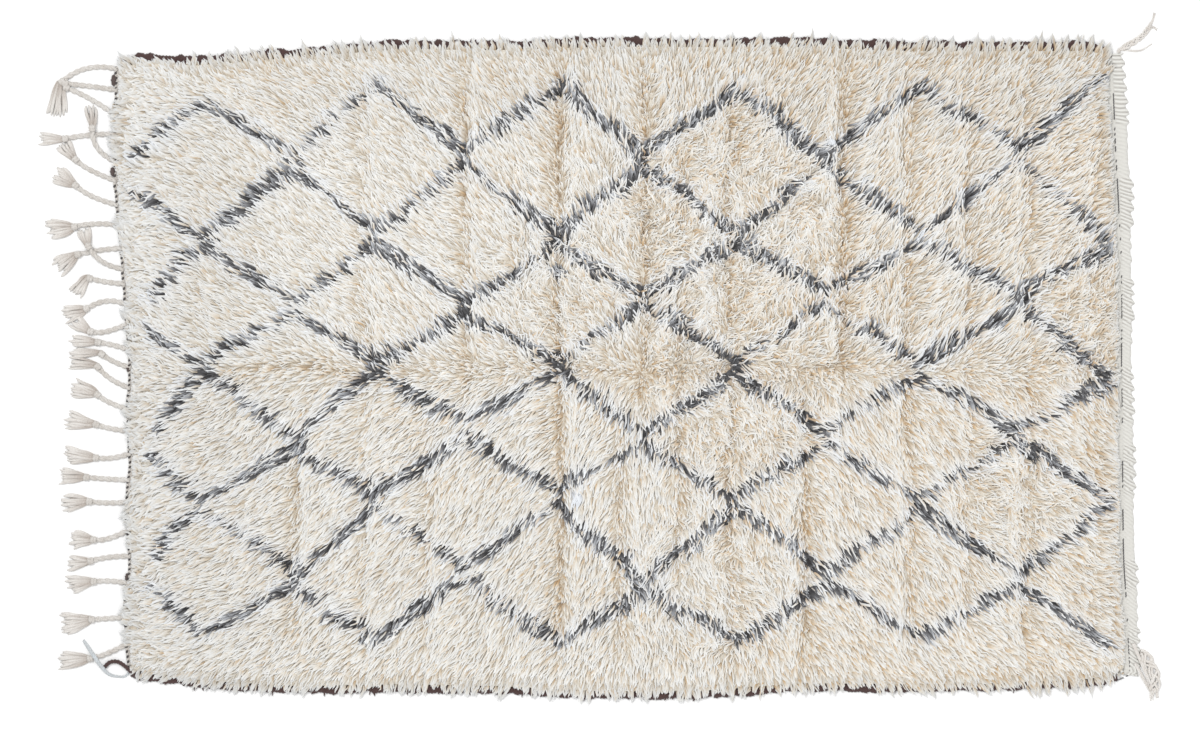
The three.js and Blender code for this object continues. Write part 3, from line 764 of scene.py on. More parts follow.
class Bundle:
    """Shapes gathered into one mesh, with the named values of their points."""

    def __init__(self):
        self.points, self.triangles, self.values, self.size = [], [], [], 0

    def add(self, points, triangles, **values):
        self.points.append(points)
        self.triangles.append(triangles + self.size)
        self.values.append(values)
        self.size += len(points)

    def piece(self, name, material, slot, *nodes):
        values = {}
        for key in {key for row in self.values for key in row}:
            values[key] = np.concatenate([
                np.broadcast_to(row[key], len(part)) for part, row in zip(self.points, self.values)
            ])
        points, triangles = np.vstack(self.points), np.vstack(self.triangles)
        return dress(mesh_piece(name, points, triangles, material, values), slot, *nodes)


def dress(piece, slot, *nodes):
    """Hides the nodes that a piece stands for, and returns the piece. slot is not used."""
    if nodes:
        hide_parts(*nodes)
    return piece


# Where a ribbon is measured between its root and its tip, as shares of its length and width.
RIBBON = [(0.0, 0.8), (0.38, 1.0), (0.76, 0.8)]


def ribbons(flat, height, wide, thick):
    """Ridged, tapering ribbons that follow flat(t) at height(t), as t goes from 0 to 1.
    Returns points and the share of the length at each, a row a ribbon, and triangles."""
    points, along = [], []
    for t, share in RIBBON:
        centre = flat(t)
        ahead = flat(min(t + 0.06, 1.0)) - flat(max(t - 0.06, 0.0))
        across = turned(ahead)
        across = across / np.maximum(np.hypot(*across.T), 1e-9)[:, None]
        half = across * (0.5 * share * wide)[:, None]
        z = height(t)
        points += [
            np.column_stack([centre - half, z]),
            np.column_stack([centre + half, z]),
            np.column_stack([centre, z + share * thick]),
        ]
        along += [t] * 3
    points.append(np.column_stack([flat(1.0), height(1.0)]))
    points, along = np.stack(points, 1), np.array(along + [1.0])
    faces = []
    last = 3 * len(RIBBON) - 3
    for a in range(0, last, 3):
        faces += [(a, a + 3, a + 5), (a, a + 5, a + 2)]
        faces += [(a + 2, a + 5, a + 4), (a + 2, a + 4, a + 1)]
    faces += [(last, last + 3, last + 2), (last + 2, last + 3, last + 1)]
    count, size = len(wide), len(along)
    triangles = np.array(faces)[None] + (np.arange(count) * size)[:, None, None]
    return points, np.tile(along, (count, 1)), triangles.reshape(-1, 3)


def ring_walls(count, sides):
    """Triangles between rings of points, and the numbers of a ring's points and the next ones."""
    k = np.arange(sides)
    after = (k + 1) % sides
    ring = np.arange(count - 1)[:, None] * sides
    a, b, c, d = ring + k, ring + after, ring + sides + after, ring + sides + k
    walls = np.concatenate([np.stack([a, b, c], -1), np.stack([a, c, d], -1)]).reshape(-1, 3)
    return walls, k, after


def loft(count, sides):
    """Triangles that join a row of rings of points and close its two ends."""
    walls, k, _ = ring_walls(count, sides)
    fan = np.stack([np.zeros(sides - 2, int), k[2:], k[1:-1]], -1)
    return np.vstack([walls, fan, fan[:, ::-1] + (count - 1) * sides])


def tube(centres, wide, high, sides=8):
    """A closed tube round a line of centres. wide and high are its half sizes."""
    count = len(centres)
    wide, high = np.broadcast_to(wide, count), np.broadcast_to(high, count)
    tangent = np.gradient(centres, axis=0)
    side = np.cross([0, 0, 1], tangent)
    side = side / np.maximum(np.linalg.norm(side, axis=1), 1e-9)[:, None]
    up = np.cross(tangent, side)
    up = up / np.maximum(np.linalg.norm(up, axis=1), 1e-9)[:, None]
    turn = np.arange(sides) * 2 * math.pi / sides
    rings = centres[:, None] + side[:, None] * (np.cos(turn)[:, None] * wide[:, None, None])
    rings = rings + up[:, None] * (np.sin(turn)[:, None] * high[:, None, None])
    points = np.vstack([rings.reshape(-1, 3), centres[:1], centres[-1:]])
    walls, k, after = ring_walls(count, sides)
    first, last = count * sides, (count - 1) * sides
    start = np.stack([after, k, np.full(sides, first)], -1)
    end = np.stack([last + k, last + after, np.full(sides, first + 1)], -1)
    return points, np.vstack([walls, start, end])


def curve(route, step):
    """Even places every step or so along a smooth line through a route, in metres."""
    route = np.array([[*row, 0] if len(row) == 2 else row for row in route], float) * MM
    ends = np.vstack([2 * route[0] - route[1], route, 2 * route[-1] - route[-2]])
    fine = []
    for p0, p1, p2, p3 in zip(ends, ends[1:], ends[2:], ends[3:]):
        t = np.linspace(0, 1, 24, endpoint=False)[:, None]
        fine.append(0.5 * (
            2 * p1 + (p2 - p0) * t + (2 * p0 - 5 * p1 + 4 * p2 - p3) * t**2
            + (3 * p1 - p0 - 3 * p2 + p3) * t**3
        ))
    fine = np.vstack([*fine, route[-1:]])
    fine[:, 2] = np.maximum(fine[:, 2], 0)
    return evenly(fine, step)


def evenly(fine, step):
    """Even places every step or so along a line."""
    run = run_along(fine)
    even = np.linspace(0, run[-1], max(3, round(run[-1] / (step * MM))) + 1)
    return np.stack([np.interp(even, run, fine[:, k]) for k in range(3)], 1)


def sideways(centres):
    """The level direction square to a line at each of its places."""
    across = level(turned(np.gradient(centres, axis=0)))
    return across / np.maximum(np.linalg.norm(across, axis=1), 1e-9)[:, None]


def plied(bundle, centres, half, pitch, flat=1.0, sides=8):
    """Adds a twisted cord round a line of centres: two tubes that turn round each other."""
    across = sideways(centres)
    run = run_along(centres)
    half = np.broadcast_to(half, len(centres))
    strand = half * 0.62
    for k in range(2):
        turn = 2 * math.pi * (run / (pitch * MM) + k / 2)
        offset = across * (np.cos(turn) * (half - strand))[:, None]
        offset[:, 2] += np.sin(turn) * (half - strand) * flat
        bundle.add(*tube(centres + offset, strand, strand * flat, sides))


# ---------------------------------------------------------------- materials


def pile_material():
    """Ivory locks with tan depths that are partly the wool's own colour and partly painted shade,
    charcoal ones and bluish-white ones.
    """
    nodes = Nodes("pile_wool")
    along = nodes.attribute("along")
    stretched = nodes.vector("MULTIPLY", nodes.attribute("fibre", vector=True), (40, 900, 1))
    streaks = nodes.noise(stretched, 1.0)
    paler = nodes.math("MULTIPLY", along, 0.6)
    greyness = nodes.math("MULTIPLY_ADD", nodes.attribute("grey"), 0.5, paler)
    colour = nodes.ramp(along, PILE_COLOURS["pale"])
    for share, name, place in (
        ("warm", "tan", along), ("cool", "white", along), ("dark", "charcoal", greyness),
    ):
        colour = nodes.mix(nodes.attribute(share), colour, nodes.ramp(place, PILE_COLOURS[name]))
    value = nodes.math("MULTIPLY_ADD", nodes.attribute("shade"), 0.22, 0.84)
    value = nodes.math("MULTIPLY", value, nodes.math("MULTIPLY_ADD", streaks, 0.20, 0.90))
    toned = nodes.add("ShaderNodeHueSaturation", {"Value": value, "Color": colour}).outputs[0]
    return nodes.wool(toned, streaks, 0.4, 0.0006, (0.8, 0.98))


def foot_material():
    """Combed wool: noise drawn out along the flow attribute makes the strands."""
    nodes = Nodes("pile_foot")
    place = nodes.place()
    flow = nodes.attribute("flow", vector=True)
    steps, reach, contrast = 7, 3.4 * MM, 4.2
    total = 0.0
    for k in range(-(steps // 2), steps // 2 + 1):
        spot = nodes.vector("ADD", place, nodes.vector("MULTIPLY", flow, (k * reach,) * 3))
        total = nodes.math("ADD", total, nodes.noise(spot, 270.0, 1.0))
    combed = nodes.math("MULTIPLY_ADD", total, contrast / steps, 0.5 - contrast / 2, clamp=True)
    # Painted shade in the partings: the deep value moves the foot toward its darker depths.
    lit = nodes.math("MULTIPLY_ADD", nodes.attribute("deep"), -0.45, combed, clamp=True)
    ivory = nodes.ramp(lit, FOOT_COLOURS["ivory"])
    charcoal = nodes.ramp(combed, FOOT_COLOURS["charcoal"])
    ragged = nodes.math("MULTIPLY_ADD", combed, 0.8, -0.4)
    inside = nodes.math("ADD", nodes.attribute("inside"), ragged)
    dark = nodes.math("MULTIPLY_ADD", inside, 4.0, 0.5, clamp=True)
    colour = nodes.mix(dark, ivory, charcoal)
    return nodes.wool(colour, combed, 0.7, 0.003, (0.8, 0.98))


def yarn_material(name):
    """Spun wool: fine fibres between a light and a deep colour, worn in patches."""
    light, deep, scale = YARNS[name]
    nodes = Nodes(name)
    place = nodes.place()
    fibres = nodes.noise(place, scale, 4.0)
    base = nodes.ramp(fibres, [(0.28, deep), (0.62, light)])
    worn = nodes.ramp(nodes.noise(place, 45.0, 2.0), YARN_WEAR)
    colour = nodes.mix(1.0, base, worn, "MULTIPLY")
    return nodes.wool(colour, fibres, 0.6, 0.0012, (0.78, 0.98))


def ground_material():
    """The woven back: rows of knots across the rug, and plain weave between them."""
    nodes = Nodes("ground_weave")
    rows, warps = nodes.wave(28.0, 1.2, "X"), nodes.wave(62.0, 1.0, "Y")
    nubs = nodes.math("MULTIPLY", rows, warps)
    height = nodes.math("MULTIPLY_ADD", nodes.noise(nodes.place(), 700.0), 0.35, nubs)
    cream = nodes.ramp(height, BACK_COLOURS["cream"])
    charcoal = nodes.ramp(height, BACK_COLOURS["charcoal"])
    knots = nodes.math("MULTIPLY", rows, nodes.attribute("dark"))
    colour = nodes.mix(nodes.math("MULTIPLY", knots, 1.6, clamp=True), cream, charcoal)
    return nodes.wool(colour, height, 0.8, 0.002, (0.82, 0.98))


# ---------------------------------------------------------------- ground and pile


def plan_grid(columns, rows, height):
    """Points, quads and shares of a closed slab on the plan. height gives its top and bottom."""
    shares = np.linspace(0, 1, columns + 1), np.linspace(0, 1, rows + 1)
    u, v = np.meshgrid(*shares, indexing="ij")
    x, y = plan.point(u.ravel(), v.ravel())
    top, bottom = height(x, y)
    points = np.vstack([np.column_stack([x, y, top]), np.column_stack([x, y, bottom])])
    index = np.arange((columns + 1) * (rows + 1)).reshape(columns + 1, rows + 1)
    a, b, c, d = index[:-1, :-1], index[1:, :-1], index[1:, 1:], index[:-1, 1:]
    upper = np.stack([a, b, c, d], -1).reshape(-1, 4)
    below = index.size
    rim = np.concatenate([index[:-1, 0], index[-1, :-1], index[:0:-1, -1], index[0, :0:-1]])
    after = np.roll(rim, -1)
    walls = np.stack([rim, rim + below, after + below, after], -1)
    return points, np.vstack([upper, upper[:, ::-1] + below, walls])


def ground():
    """The woven ground: a thin sheet that lies flat on the floor."""
    def height(x, y):
        return np.full(x.shape, GROUND["high"] * MM), np.full(x.shape, GROUND["low"] * MM)

    points, quads = plan_grid(GROUND["columns"], GROUND["rows"], height)
    dark = smoothstep(line_depth(points[:, 0], points[:, 1]), -4 * MM, 6 * MM)
    piece = mesh_piece("ground_weave", points, quads, ground_material(), {"dark": dark})
    dress(piece, "warp_yarn", "pile_carpet")
    u, v = np.array([0.5, 0.5, 0.0, 1.0]), np.array([0.0, 1.0, 0.5, 0.5])
    x, y = plan.point(u, v)


def foot():
    """The dense body of the pile, which the eye meets between the locks. Its flat underside
    lies on the woven ground and is left out."""
    columns, rows = BODY["columns"], BODY["rows"]
    low = (GROUND["high"] + 0.3) * MM

    def height(x, y):
        return body_height(x, y), np.full(x.shape, low)

    points, quads = plan_grid(columns, rows, height)
    top = (columns + 1) * (rows + 1)
    quads = quads[~np.all(quads >= top, axis=1)]
    used = np.unique(quads)
    place = np.zeros(len(points), int)
    place[used] = np.arange(len(used))
    points, quads = points[used], place[quads]
    x, y = points[:, 0], points[:, 1]
    angle = pile_direction(x, y)
    values = {
        "flow": level(aimed(angle)),
        "inside": np.clip(line_depth(x, y) / (10 * MM), -3, 3),
        # deep: how far into a parting each point is, which the foot's material darkens as painted
        # shade.
        "deep": creasing(x, y),
    }
    flat = points[:, :2]
    start, end = flat.min(0), flat.max(0)
    spread = np.where(points[:, 2] > low + 1e-6, 0.96, 1.0)[:, None]  # The walls go round the top.
    uv = (0.5 + (flat - (start + end) / 2) / (end - start) * spread)[quads.ravel()]
    piece = mesh_piece("pile_foot", points, quads, foot_material(), values, uv)
    dress(piece, "ivory_pile", "pile_carpet")


def lock_roots():
    """Where the locks are knotted: uneven rows, and more of them where the pile parts."""
    random = np.random.default_rng(17)
    u, v = np.meshgrid(np.arange(LOCKS_ALONG), np.arange(LOCKS_ACROSS), indexing="ij")
    u = (u.ravel() + 0.5 + random.uniform(-0.45, 0.45, u.size)) / LOCKS_ALONG
    v = (v.ravel() + 0.5 + random.uniform(-0.45, 0.45, v.size)) / LOCKS_ACROSS
    more_u, more_v = random.uniform(0, 1, (2, 24 * VEIN_LOCKS))
    x, y = plan.point(more_u, more_v)
    weight = np.minimum(spreading(x, y), 60) ** 1.3
    picked = random.choice(len(x), VEIN_LOCKS, replace=False, p=weight / weight.sum())
    return plan.point(np.concatenate([u, more_u[picked]]), np.concatenate([v, more_v[picked]]))


def lock_reach(x, y, forward, to_clump, random):
    """How long each lock is, how far forward it lies, and the step that gathers its tip to
    its clump and rim tuft, all shorter where the tip would hang out too far."""
    root = np.stack([x, y], 1)
    length = LOCK["length"] * MM * random.uniform(0.75, 1.2, len(x))
    lie = LOCK["lie"] * length / (1 + 0.4 * spreading(x, y) * length)
    gather = to_clump * 0.2
    drawn = plan.drawn(*(root + forward * lie[:, None] + gather).T)
    gather = gather + drawn
    tip = root + forward * lie[:, None] + gather
    outer = np.minimum(np.hypot(*drawn.T) / (0.5 * RIM_TUFT["sides"] * MM), 1)
    trim = random.uniform(0.8, 1.05, len(x)) * (1 - RIM_TUFT["point"] * outer)
    room, past = -plan.past(x, y, trim), np.maximum(plan.past(*tip.T, trim), 0)
    short = np.where(past > 0, room / (room + past), 1)
    return length * short, lie * short, gather * short[:, None]


def lock_arrays(x, y, seed):
    """Points, triangles and values of one lock of pile at each root."""
    random = np.random.default_rng(seed)
    count = len(x)
    centre_x, centre_y = clump_centres(x, y)
    tousle, calm = tousling(x, y), calming(x, y)
    stray = {key: plain + more * tousle for key, (plain, more) in STRAY.items()}

    def clumped(seed):
        """Noise that the locks of one clump share."""
        return noise(centre_x, centre_y, 7, seed)

    angle = pile_direction(0.3 * x + 0.7 * centre_x, 0.3 * y + 0.7 * centre_y)
    angle = angle + random.normal(0, 1, count) * stray["angle"]
    angle = angle + clumped(35) * stray["clump_angle"]
    forward = aimed(angle)
    root, to_clump = np.stack([x, y], 1), np.stack([centre_x - x, centre_y - y], 1)
    length, lie, gather = lock_reach(x, y, forward, to_clump, random)
    bend = random.normal(0, 0.4, count) + 1.2 * clumped(36)
    bend = bend * length * stray["bend"] * (1 - 0.2 * calm)
    wave = (random.normal(0, 0.5, count) + 1.2 * clumped(37)) * length * stray["wave"]
    lifted = 1 + 0.45 * clumped(38)
    rise = LOCK["rise"] * MM * random.uniform(0.7, 1.2, count) * lifted * (1 - 0.2 * calm)
    stout = 1 + 0.3 * smoothstep(-x, 0.9, 1.15)
    wide = LOCK["wide"] * MM * random.uniform(0.65, 1.25, count) * stout
    thick = LOCK["thick"] * MM * random.uniform(0.8, 1.2, count) * (1 - 0.35 * calm)

    def flat(t):
        sway = bend * (t * t - 0.45 * t) + wave * np.sin(2 * math.pi * t)
        bowed = turned(forward) * sway[:, None]
        return root + forward * (lie * t)[:, None] + bowed + gather * t**1.5

    def height(t):
        here = flat(t)
        arch = math.sin(math.pi * min(1, 0.12 + 0.76 * t)) ** 0.7
        z = body_height(*here.T) - LOCK["sink"] * MM * (1 - t) ** 2 + rise * arch * t**0.4
        over = -plan.inset(*here.T)
        droop = np.maximum(over + 8 * MM, 0) * 0.3
        rest = TIP_FLOOR * MM * (1 - 0.6 * smoothstep(over, 22 * MM, 40 * MM))
        return np.maximum(z - droop, rest * min(1, 0.6 + t))

    points, along, triangles = ribbons(flat, height, wide, thick)
    values = lock_colours(x, y, flat, along, length, random)
    return points.reshape(-1, 3), triangles, values


def lock_colours(x, y, flat, along, length, random):
    """The values that colour the locks: how dark, cool, warm, grey and shaded each one is,
    and for their fibres where each point lies along its lock and across it."""
    count, size = along.shape
    tousle, calm = tousling(x, y), calming(x, y)
    middle = flat(0.6).T
    inside = line_depth(*middle)
    ragged = 6 * MM * noise(*middle, 11, 34) + random.normal(0, 2.2 * MM, count)
    dark = (inside + ragged > 0) & (random.uniform(0, 1, count) > 0.33)
    near_line = smoothstep(inside, -26 * MM, -1 * MM)
    cool = near_line * random.uniform(0, 0.8, count) + spots(*middle, WHITE_SPOTS)
    cool = cool + 0.25 * smoothstep(-x, 0.9, 1.1) * random.uniform(0, 1, count)
    warm = -0.2 + 0.46 * smoothstep(x, -0.9, 0.9) + 0.08 * calm + 0.12 * tousle
    # In the partings the locks turn tanner: partly the deeper wool that shows there, partly painted
    # shade.
    warm = warm + 0.12 * smoothstep(y, 0.4, 0.7) + 0.5 * creasing(x, y)
    warm = warm + 0.14 * noise(x, y, 130, 12) + 0.16 * noise(x, y, 42, 13)
    # Painted shade on locks whose tips hang past the edge of the woven ground: it lowers their
    # shade value below its random tone.
    hanging = smoothstep(-plan.inset(*flat(1.0).T), -18 * MM, 32 * MM)
    hanging = hanging * random.uniform(0.5, 1.2, count)
    far_or_left = np.maximum(smoothstep(-x, 0.6, 1.0), smoothstep(y, 0.4, 0.7))
    values = {
        "dark": dark,
        "cool": np.clip(cool, 0, 1),
        "warm": np.clip(warm + random.normal(0, 0.36, count), 0, 1),
        "grey": random.uniform(0, 1, count),
        "shade": np.clip(random.normal(0.5, 0.16, count) - 0.3 * far_or_left, 0, 1) - 0.8 * hanging,
    }
    values = {key: np.repeat(value.astype(float), size) for key, value in values.items()}
    # Painted shade in the partings: there the root ends of the locks take the darker root colours.
    deep = creasing(x, y)[:, None] * (1 - along)
    values["along"] = np.clip(along - 0.4 * deep, 0, 1).ravel()
    ridge = np.arange(size) % 3 * 2.0 * MM + random.uniform(0, 9, count)[:, None]
    values["fibre"] = level(np.stack([along * length[:, None], ridge], 2).reshape(-1, 2))
    return values


def pile():
    material = pile_material()
    x, y = lock_roots()
    order = np.argsort(x)
    for k, part in enumerate(np.array_split(order, PILE_PIECES)):
        points, triangles, values = lock_arrays(x[part], y[part], 100 + k)
        piece = mesh_piece(f"pile_locks_{k + 1}", points, triangles, material, values)
        dress(piece, "ivory_pile", "pile_carpet")


# ---------------------------------------------------------------- selvedges


def binding(x, y, outward, side, seed):
    """Rings of points round the cord along a long side: dark wool wrapped in slanting turns."""
    pitch = BINDING["step"] / BINDING["pitch"]
    wrap = 0.5 + 0.5 * np.cos(2 * math.pi * np.arange(len(x)) * pitch)
    uneven = 0.12 * noise(x, y, 30, seed) + 0.2 * noise(x, y, 12, seed)
    reach = BINDING[side] * MM * (0.88 + 0.08 * wrap + uneven)
    high = BINDING["height"] * MM * (0.84 + 0.16 * wrap)
    inner = BINDING["inner"] * MM
    rings = []
    for k in range(BINDING["sides"]):
        angle = 2 * math.pi * k / BINDING["sides"]
        offset = inner + (reach - inner) * (0.5 + 0.5 * math.cos(angle))
        slant = BINDING["slant"] * MM * math.sin(angle)
        z = np.maximum(high * (0.5 + 0.5 * math.sin(angle)), 0.2 * MM)
        out = aimed(outward)
        flat = np.stack([x, y], 1) + out * offset[:, None] + turned(out) * slant
        rings.append(np.column_stack([flat, z]))
    return np.stack(rings, 1)


def stray_ends(x, y, outward, random):
    """Short ribbons of wool that stand out of the binding here and there."""
    count = STRAY_END["count"]
    picked = random.choice(len(x), count)
    forward = aimed(outward[picked] + random.normal(0, 0.5, count))
    start = np.stack([x, y], 1)[picked] + aimed(outward)[picked] * STRAY_END["root"] * MM
    long = random.uniform(*STRAY_END["long"], count) * MM
    points, _, triangles = ribbons(
        lambda t: start + forward * (long * t)[:, None],
        lambda t: np.full(count, (STRAY_END["high"] - 3 * t) * MM),
        random.uniform(*STRAY_END["wide"], count) * MM,
        np.full(count, STRAY_END["thick"] * MM),
    )
    return points.reshape(-1, 3), triangles


def selvedges():
    """Dark wool bound over a cord along each long side. The near side's cord runs on as a tail."""
    material = yarn_material("selvedge_wool")
    for side, seed in (("far", 51), ("near", 52)):
        x, y, outward = plan.rim(side, BINDING["step"])
        rings = binding(x, y, outward, side, seed)
        if side == "near":
            rings = rings[::-1]
        bundle = Bundle()
        bundle.add(rings.reshape(-1, 3), loft(*rings.shape[:2]))
        bundle.add(*stray_ends(x, y, outward, np.random.default_rng(seed)))
        if side == "near":
            tail = curve(SELVEDGE_TAIL["route"], 2.5) + (0, 0, SELVEDGE_TAIL["lift"] * MM)
            plied(bundle, tail, SELVEDGE_TAIL["half"] * MM, SELVEDGE_TAIL["pitch"])
        node = f"selvedge_{side}"
        bundle.piece(f"{node}_binding", material, "dark_selvedge", node)


# ---------------------------------------------------------------- fringe


def fringe_strip(pale, dark, brown):
    """The twined strip along the fringe end: pale and dark strands that pass each other."""
    x, y, outward = plan.rim("fringe", STITCH["pitch"])
    out = level(aimed(outward))
    along = level(turned(out))
    edge = np.stack([x, y, np.zeros_like(x)], 1)
    base = edge + out * STRIP["out"] * MM + (0, 0, STRIP["high"] * MM)
    pale.add(*tube(base, STRIP["half"] * MM, STRIP["half_high"] * MM, 10))
    wander = 1.6 * MM * noise(x, y, 16, 62)
    (outer, outer_high), (inner, inner_high) = STITCH_ROWS["outer"], STITCH_ROWS["inner"]
    for k in range(len(x)):
        place = edge[k] + out[k] * (outer * MM + wander[k]) + (0, 0, outer_high * MM)
        (dark if k % 2 else pale).add(*lobe(place, along[k], out[k], STITCH))
        if k % 2 == 0:
            place = edge[k] + out[k] * inner * MM + (0, 0, inner_high * MM)
            pale.add(*lobe(place, along[k], out[k], STITCH))
    t = np.linspace(-1, 1, 9)
    round_off = np.sqrt(np.maximum(1 - t * t, 0.03)) * (1 + 0.18 * np.cos(9 * t))
    for middle, half_wide, half_long in LUMPS:
        line_y = (middle + half_long * t) * MM
        line_x = plan.at("fringe", line_y) - (9 + half_wide) * MM
        line = np.column_stack([line_x, line_y, np.full_like(t, LUMP["high"] * MM)])
        brown.add(*tube(line, half_wide * MM * round_off, LUMP["half_high"] * MM * round_off, 10))


def lobe(centre, along, out, size):
    """One slanted turn of yarn, seen as a small plump oval."""
    axis = along * math.cos(size["slant"]) + out * math.sin(size["slant"])
    t = np.array([-1, -0.6, 0, 0.6, 1])
    centres = centre + axis * (t * size["half_long"] * MM)[:, None]
    round_off = MM * np.sqrt(np.maximum(1 - t * t, 0.04))
    return tube(centres, size["half_wide"] * round_off, size["half_high"] * round_off, 6)


def cord_route(tassel):
    """The middle line of a cord, from the strip to its knot."""
    root_y, bend_x, bend_y, knot_x, knot_y, lift = tassel[:6]
    edge = float(plan.at("fringe", root_y * MM)) / MM
    t = np.linspace(0, 1, 60)[:, None]
    start, bend, knot = np.array([(edge - 6, root_y), (bend_x, bend_y), (knot_x, knot_y)], float)
    flat = (start * (1 - t) ** 2 + 2 * bend * t * (1 - t) + knot * t**2) * MM
    z = lift * MM * smoothstep(t[:, 0], 0.25, 0.75)
    return evenly(np.column_stack([flat, z]), 2.6)


def knot(bundle, end, direction, across):
    """An overhand knot: two fat turns of yarn round the cord and a lump between them."""
    up = np.array([0.0, 0.0, 1.0])
    turn = np.linspace(0, 2 * math.pi * 1.9, 34)
    middle = end + direction * (KNOT["long"] * 0.5) * MM + up * KNOT["half"] * 0.82 * MM
    ring = KNOT["half"] - KNOT["yarn"]
    travel = (turn / turn[-1] - 0.5) * KNOT["long"] * 0.72
    tilt = 0.35 * np.cos(turn) * ring
    centres = middle + direction * ((travel + tilt) * MM)[:, None]
    centres = centres + across * (np.cos(turn) * ring * MM)[:, None]
    centres = centres + up * (np.sin(turn) * ring * 0.72 * MM)[:, None]
    bundle.add(*tube(centres, KNOT["yarn"] * MM, KNOT["yarn"] * 0.9 * MM, 8))
    reach = np.linspace(-0.75, 0.75, 7)
    lump = middle + direction * (reach * KNOT["long"] * 0.5 * MM)[:, None]
    size = KNOT["half"] * 0.74 * MM * np.sqrt(1 - reach**2)
    bundle.add(*tube(lump, size, size * 0.85, 10))


def tuft(bundle, end, tassel, random):
    """A brush of loosened yarn: fat strands that spread from the knot and lie on the floor,
    round one body that fills the gaps between them."""
    turn, long, wide = tassel[6:9]
    count = max(7, round(TUFT["strands"] * wide))
    middle = aimed(np.radians([turn]))
    side = turned(middle)
    t = np.linspace(0, 1, 10)
    for place in np.linspace(-1, 1, count):
        place = place + random.normal(0, 0.07)
        reach = long * random.uniform(0.85, 1.15)
        sway = random.normal(0, 1.6) * np.sin(math.pi * t)
        sway = sway + random.normal(0, 0.9) * np.sin(2 * math.pi * t)
        off = 0.48 * wide * place * (0.22 + 0.78 * t**0.8) + sway
        flat = end[:2] + middle * ((t * reach - 5) * MM)[:, None] + side * (off * MM)[:, None]
        size = random.uniform(*TUFT["yarn"]) * np.interp(t, [0, 0.3, 0.85, 1], [0.6, 1.0, 1.0, 0.3])
        layer = random.uniform(0, TUFT["high"]) * (1 - 0.6 * place**2)
        layer = layer * np.sin(math.pi * (0.2 + 0.65 * t))
        centres = np.column_stack([flat, (0.3 + size + layer) * MM + end[2] * (1 - t) ** 2])
        along = np.concatenate([np.repeat(t, 6), [0, 1]])
        bundle.add(*tube(centres, size * MM, size * MM, 6), along=along, tone=random.uniform(0, 1))

    t = np.linspace(0, 1, 8)
    line = end[:2] + middle * ((t * 0.72 * long - 3) * MM)[:, None]
    width = np.interp(t, [0, 0.8, 1], [5, 0.33 * wide, 0.2 * wide]) * MM
    tall = np.interp(t, [0, 0.3, 0.8, 1], [4.2, 3.4, 2.2, 1.0]) * MM
    base = np.column_stack([line, tall + 0.3 * MM + end[2] * (1 - t) ** 3])
    # The body takes the dark root colour: painted shade in the gaps between the strands.
    bundle.add(*tube(base, width, tall, 12), along=0.2, tone=0.2)


def tuft_material():
    """Loosened warp yarn: greyish cream, whiter at the tips and shaded at the roots."""
    nodes = Nodes("tuft_wool")
    fibres = nodes.noise(nodes.place(), 800.0, 4.0)
    tone = nodes.math("MULTIPLY_ADD", nodes.attribute("tone"), 0.5, -0.3)
    lit = nodes.math("MULTIPLY_ADD", nodes.attribute("along"), 1.3, tone, clamp=True)
    root, tip = (nodes.ramp(fibres, TUFT_COLOURS[key]) for key in ("root", "tip"))
    return nodes.wool(nodes.mix(lit, root, tip), fibres, 0.6, 0.0012, (0.8, 0.98))


def fringe():
    random = np.random.default_rng(61)
    strip, stitches, lumps, cords, tufts, tie = (Bundle() for _ in range(6))
    fringe_strip(strip, stitches, lumps)
    thick = CORD["half"] * CORD["flat"] * MM
    for tassel in TASSELS:
        route = cord_route(tassel)
        route[:, 2] += thick
        plied(cords, route, CORD["half"] * MM, CORD["pitch"], flat=CORD["flat"])
        direction = route[-1] - route[-3]
        direction = direction / np.linalg.norm(direction)
        across = np.array([-direction[1], direction[0], 0.0])
        end = route[-1] - (0, 0, thick)
        knot(cords, end, direction, across)
        if len(tassel) > 6:
            tuft(tufts, end + direction * KNOT["long"] * 0.8 * MM, tassel, random)
    route = curve(TIE_THREAD, 2.5)
    half = np.interp(np.linspace(0, 1, len(route)), *zip(*TIE_HALF)) * MM
    route[:, 2] += half
    plied(tie, route, half, TIE_PITCH, sides=6)
    cord_wool = yarn_material("cord_wool")
    for bundle, name, material, slot in (
        (strip, "fringe_strip", cord_wool, "warp_yarn"),
        (stitches, "fringe_stitches", yarn_material("stitch_wool"), "dark_selvedge"),
        (lumps, "fringe_lumps", yarn_material("weft_wool"), "dark_selvedge"),
        (cords, "fringe_cords", cord_wool, "warp_yarn"),
        (tufts, "fringe_tufts", tuft_material(), "warp_yarn"),
        (tie, "tie_thread", yarn_material("tie_wool"), "warp_yarn"),
    ):
        bundle.piece(name, material, slot, "fringe")


# ---------------------------------------------------------------- heading


def ribbing(y):
    """How ribbed the heading is at each y: fully by stretches, and faintly between them."""
    ribbed = np.clip(0.3 + 0.25 * noise(y, y, 40, 75), 0.08, 0.6)
    for high, low in RIBBED:
        rising = smoothstep(y, (low - 6) * MM, (low + 6) * MM)
        falling = 1 - smoothstep(y, (high - 6) * MM, (high + 6) * MM)
        ribbed = np.maximum(ribbed, rising * falling)
    return ribbed


